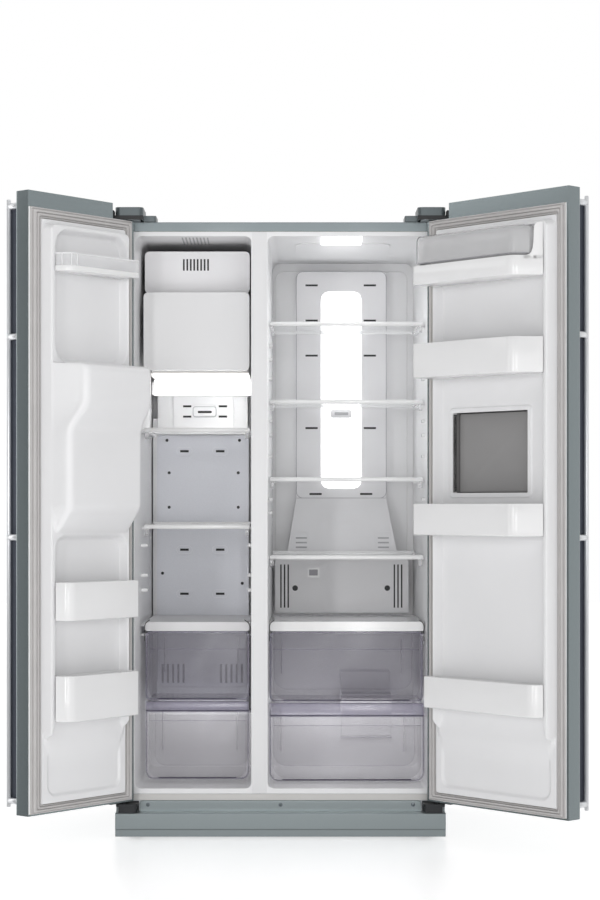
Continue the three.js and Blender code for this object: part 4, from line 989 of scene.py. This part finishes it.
# Dark seals that hook round the ends of the two covers over the drawers.
for word, x0, x1, y in (("freezer", -384.2, -86.4, 87.2), ("crisper", -32.2, 405.2, 95.2)):
    hooks = []
    for x, turn in ((x0, 1), (x1, -1)):
        hook = [(0, -54), (1.8, -54), (1.8, -11), (5, -3), (16, 5.6), (15, 7.6), (3.4, -1), (0, -10)]
        hooks.append(along_y([(x + turn * a, 590 + b) for a, b in hook], y, y + 2.7))
    detail(word + "_deck_end_seals", hooks, BLACK, "black_plastic", bevel=0.2)


def stubs(name, walls, heights):
    """Stubs on the side walls that shelves can rest on; walls gives (x of the wall, reach) pairs."""
    shapes = []
    for z in heights:
        ring = round_rect(118, 141, z - 5, z + 5, 3.6, 3)
        for x, reach in walls:
            steps = ((x, 0), (x + reach * 0.75, 0), (x + reach, 1.8))
            shapes.append(loft([[(at, a, b) for a, b in inset(ring, d)] for at, d in steps]))
    detail(name, shapes, WHITE, "white_plastic", angle=45)


stubs("fridge_wall_stubs", ((-32.6, 9), (408.2, -9)), (1371, 1332, 1278, 1158, 1118, 1058, 936, 898))
stubs("freezer_wall_stubs", ((-395.3, 19), (-83.6, -10)), (806, 721, 679))


def shelf_clips(name, x0, x1, y, z):
    """Clear hooks under the two ends of a shelf's front bar."""
    side = [(y + 2, z - 12.7), (y + 2, z - 25), (y + 7, z - 31), (y + 15, z - 31), (y + 27, z - 21),
            (y + 27, z - 16), (y + 18, z - 15.5), (y + 14, z - 12.7)]
    hooks = [along_x(side, x, x + 10) for x in (x0 + 2, x1 - 12)]
    detail(name + "_clips", hooks, CLEAR, "clear_plastic", body=name, bevel=1.2)


for k, z in enumerate((1439, 1218.5, 999, 778.5)):
    shelf_clips("fridge_shelf_%d" % (k + 1), -31, 403, 110, z)
shelf_clips("freezer_shelf_upper", -386, -88, 112, 1138.5)
shelf_clips("freezer_shelf_lower", -386, -88, 100, 865)


# ---------------------------------------------------------------- studio
EYE = (22.68, -5789.3, 911.3)


def area_light(name, at, target, size, power):
    """A rectangular lamp at a place, turned to a target."""
    data = bpy.data.lights.new(name, "AREA")
    data.shape = "RECTANGLE"
    data.size, data.size_y = size
    data.energy = power
    made = bpy.data.objects.new(name, data)
    bpy.context.scene.collection.objects.link(made)
    made.location = at
    made.rotation_euler = (Vector(target) - Vector(at)).to_track_quat("-Z", "Y").to_euler()


def surroundings(scene):
    """White to the eye; what it casts is dim in front, less so to the right, and bright behind."""
    world = bpy.data.worlds.new("studio")
    scene.world = world
    world.use_nodes = True
    tree = world.node_tree
    tree.nodes.clear()
    out = tree.nodes.new("ShaderNodeOutputWorld")
    blend = tree.nodes.new("ShaderNodeMixShader")
    path = tree.nodes.new("ShaderNodeLightPath")
    around = tree.nodes.new("ShaderNodeBackground")
    seen = tree.nodes.new("ShaderNodeBackground")
    seen.inputs["Strength"].default_value = 1.0
    for shade in (around, seen):
        shade.inputs["Color"].default_value = (1, 1, 1, 1)
    where = tree.nodes.new("ShaderNodeTexCoord")
    split = tree.nodes.new("ShaderNodeSeparateXYZ")
    tree.links.new(where.outputs["Generated"], split.inputs[0])
    levels = []
    for axis, *ends in (("X", -1.0, 1.0, 0.07, 0.54), ("Y", -0.05, 0.07, 0.0, 1.0)):
        span = tree.nodes.new("ShaderNodeMapRange")
        for key, value in zip(("From Min", "From Max", "To Min", "To Max"), ends):
            span.inputs[key].default_value = value
        tree.links.new(split.outputs[axis], span.inputs["Value"])
        levels.append(span)
    behind = tree.nodes.new("ShaderNodeMix")
    behind.inputs["B"].default_value = 0.9
    tree.links.new(levels[1].outputs[0], behind.inputs["Factor"])
    tree.links.new(levels[0].outputs[0], behind.inputs["A"])
    tree.links.new(behind.outputs[0], around.inputs["Strength"])
    tree.links.new(path.outputs["Is Camera Ray"], blend.inputs[0])
    tree.links.new(around.outputs[0], blend.inputs[1])
    tree.links.new(seen.outputs[0], blend.inputs[2])
    tree.links.new(blend.outputs[0], out.inputs[0])


def studio_lights():
    """Soft boxes in front and at the sides of the refrigerator."""
    for side_name, x, power in (("left", -2.7, 59), ("right", 2.7, 14)):
        area_light("softbox_" + side_name, (x, -6.4, 1.5), (0, 0, 0.9), (0.42, 2.8), power)
    for side_name, x in (("left", -0.42), ("right", 0.42)):
        area_light("strip_" + side_name, (x, -6.9, 1.3), (x * 0.3, 0, 1.0), (0.16, 2.6), 18)
    area_light("behind_left", (-3.0, 0.45, 1.1), (0.6, -0.35, 1.0), (0.8, 2.4), 8)
    area_light("high_left", (-3.0, -0.4, 2.45), (0.3, -0.35, 1.6), (0.9, 0.5), 1.5)
    area_light("side_left", (-3.0, -2.3, 1.2), (0.5, -0.4, 1.0), (0.22, 2.6), 6)
    area_light("side_right", (3.0, -2.3, 1.2), (-0.5, -0.4, 1.0), (0.22, 2.6), 4)
    area_light("front", (0, -8.5, 1.3), (0, 0, 1.0), (4.5, 3.2), 56)
    area_light("over", (0, -1.6, 3.4), (0, -1.2, 0), (3.4, 2.4), 10)


def inner_lights():
    """The refrigerator's own lamps, and the glow that reaches the drawers."""
    area_light("freezer_lamp", cabinet(-233, 430, 1268), cabinet(-233, 300, 1100), (0.29, 0.04), 0.38)
    area_light("freezer_top", cabinet(-235, 35, 1560), cabinet(-235, 160, 1700), (0.24, 0.05), 0.03)
    area_light("drawer_glow_left", cabinet(-236, 360, 350), cabinet(-236, 330, 100), (0.26, 0.2), 0.22)
    area_light("drawer_glow_right", cabinet(187, 360, 350), cabinet(187, 330, 100), (0.40, 0.2), 0.55)
    area_light("fridge_lamp", cabinet(170, 78, 1652), cabinet(172, 90, 1000), (0.1, 0.08), 0.3)
    area_light("duct_lamp", cabinet(181, 490, 1267), cabinet(181, 0, 1267), (0.11, 0.56), 0.45)


def pale_floor(scene):
    """The floor under the refrigerator; polished pieces do not mirror it."""
    mesh = bpy.data.meshes.new("floor")
    mesh.from_pydata([(-9, -8, 0), (9, -8, 0), (9, 14, 0), (-9, 14, 0)], [], [[0, 1, 2, 3]])
    floor = bpy.data.objects.new("floor", mesh)
    scene.collection.objects.link(floor)
    paint = material("pale_floor", (0.93, 0.93, 0.93), 0.3, vary=0.004, scale=2, rough_vary=0.02,
                     emission=0.42)
    mesh.materials.append(paint)
    floor.visible_glossy = False


def studio():
    scene = bpy.context.scene
    scene.view_settings.view_transform = "Standard"
    surroundings(scene)
    studio_lights()
    inner_lights()
    pale_floor(scene)


def camera():
    """Straight on, a little above half the refrigerator's height."""
    data = bpy.data.cameras.new("camera")
    data.sensor_width = 36
    data.lens = 83.42
    data.shift_x = 0.01256
    data.shift_y = 0.0646
    made = bpy.data.objects.new("camera", data)
    bpy.context.scene.collection.objects.link(made)
    made.location = cabinet(*EYE)
    made.rotation_euler = (math.radians(90), 0, 0)
    bpy.context.scene.camera = made


studio()
camera()
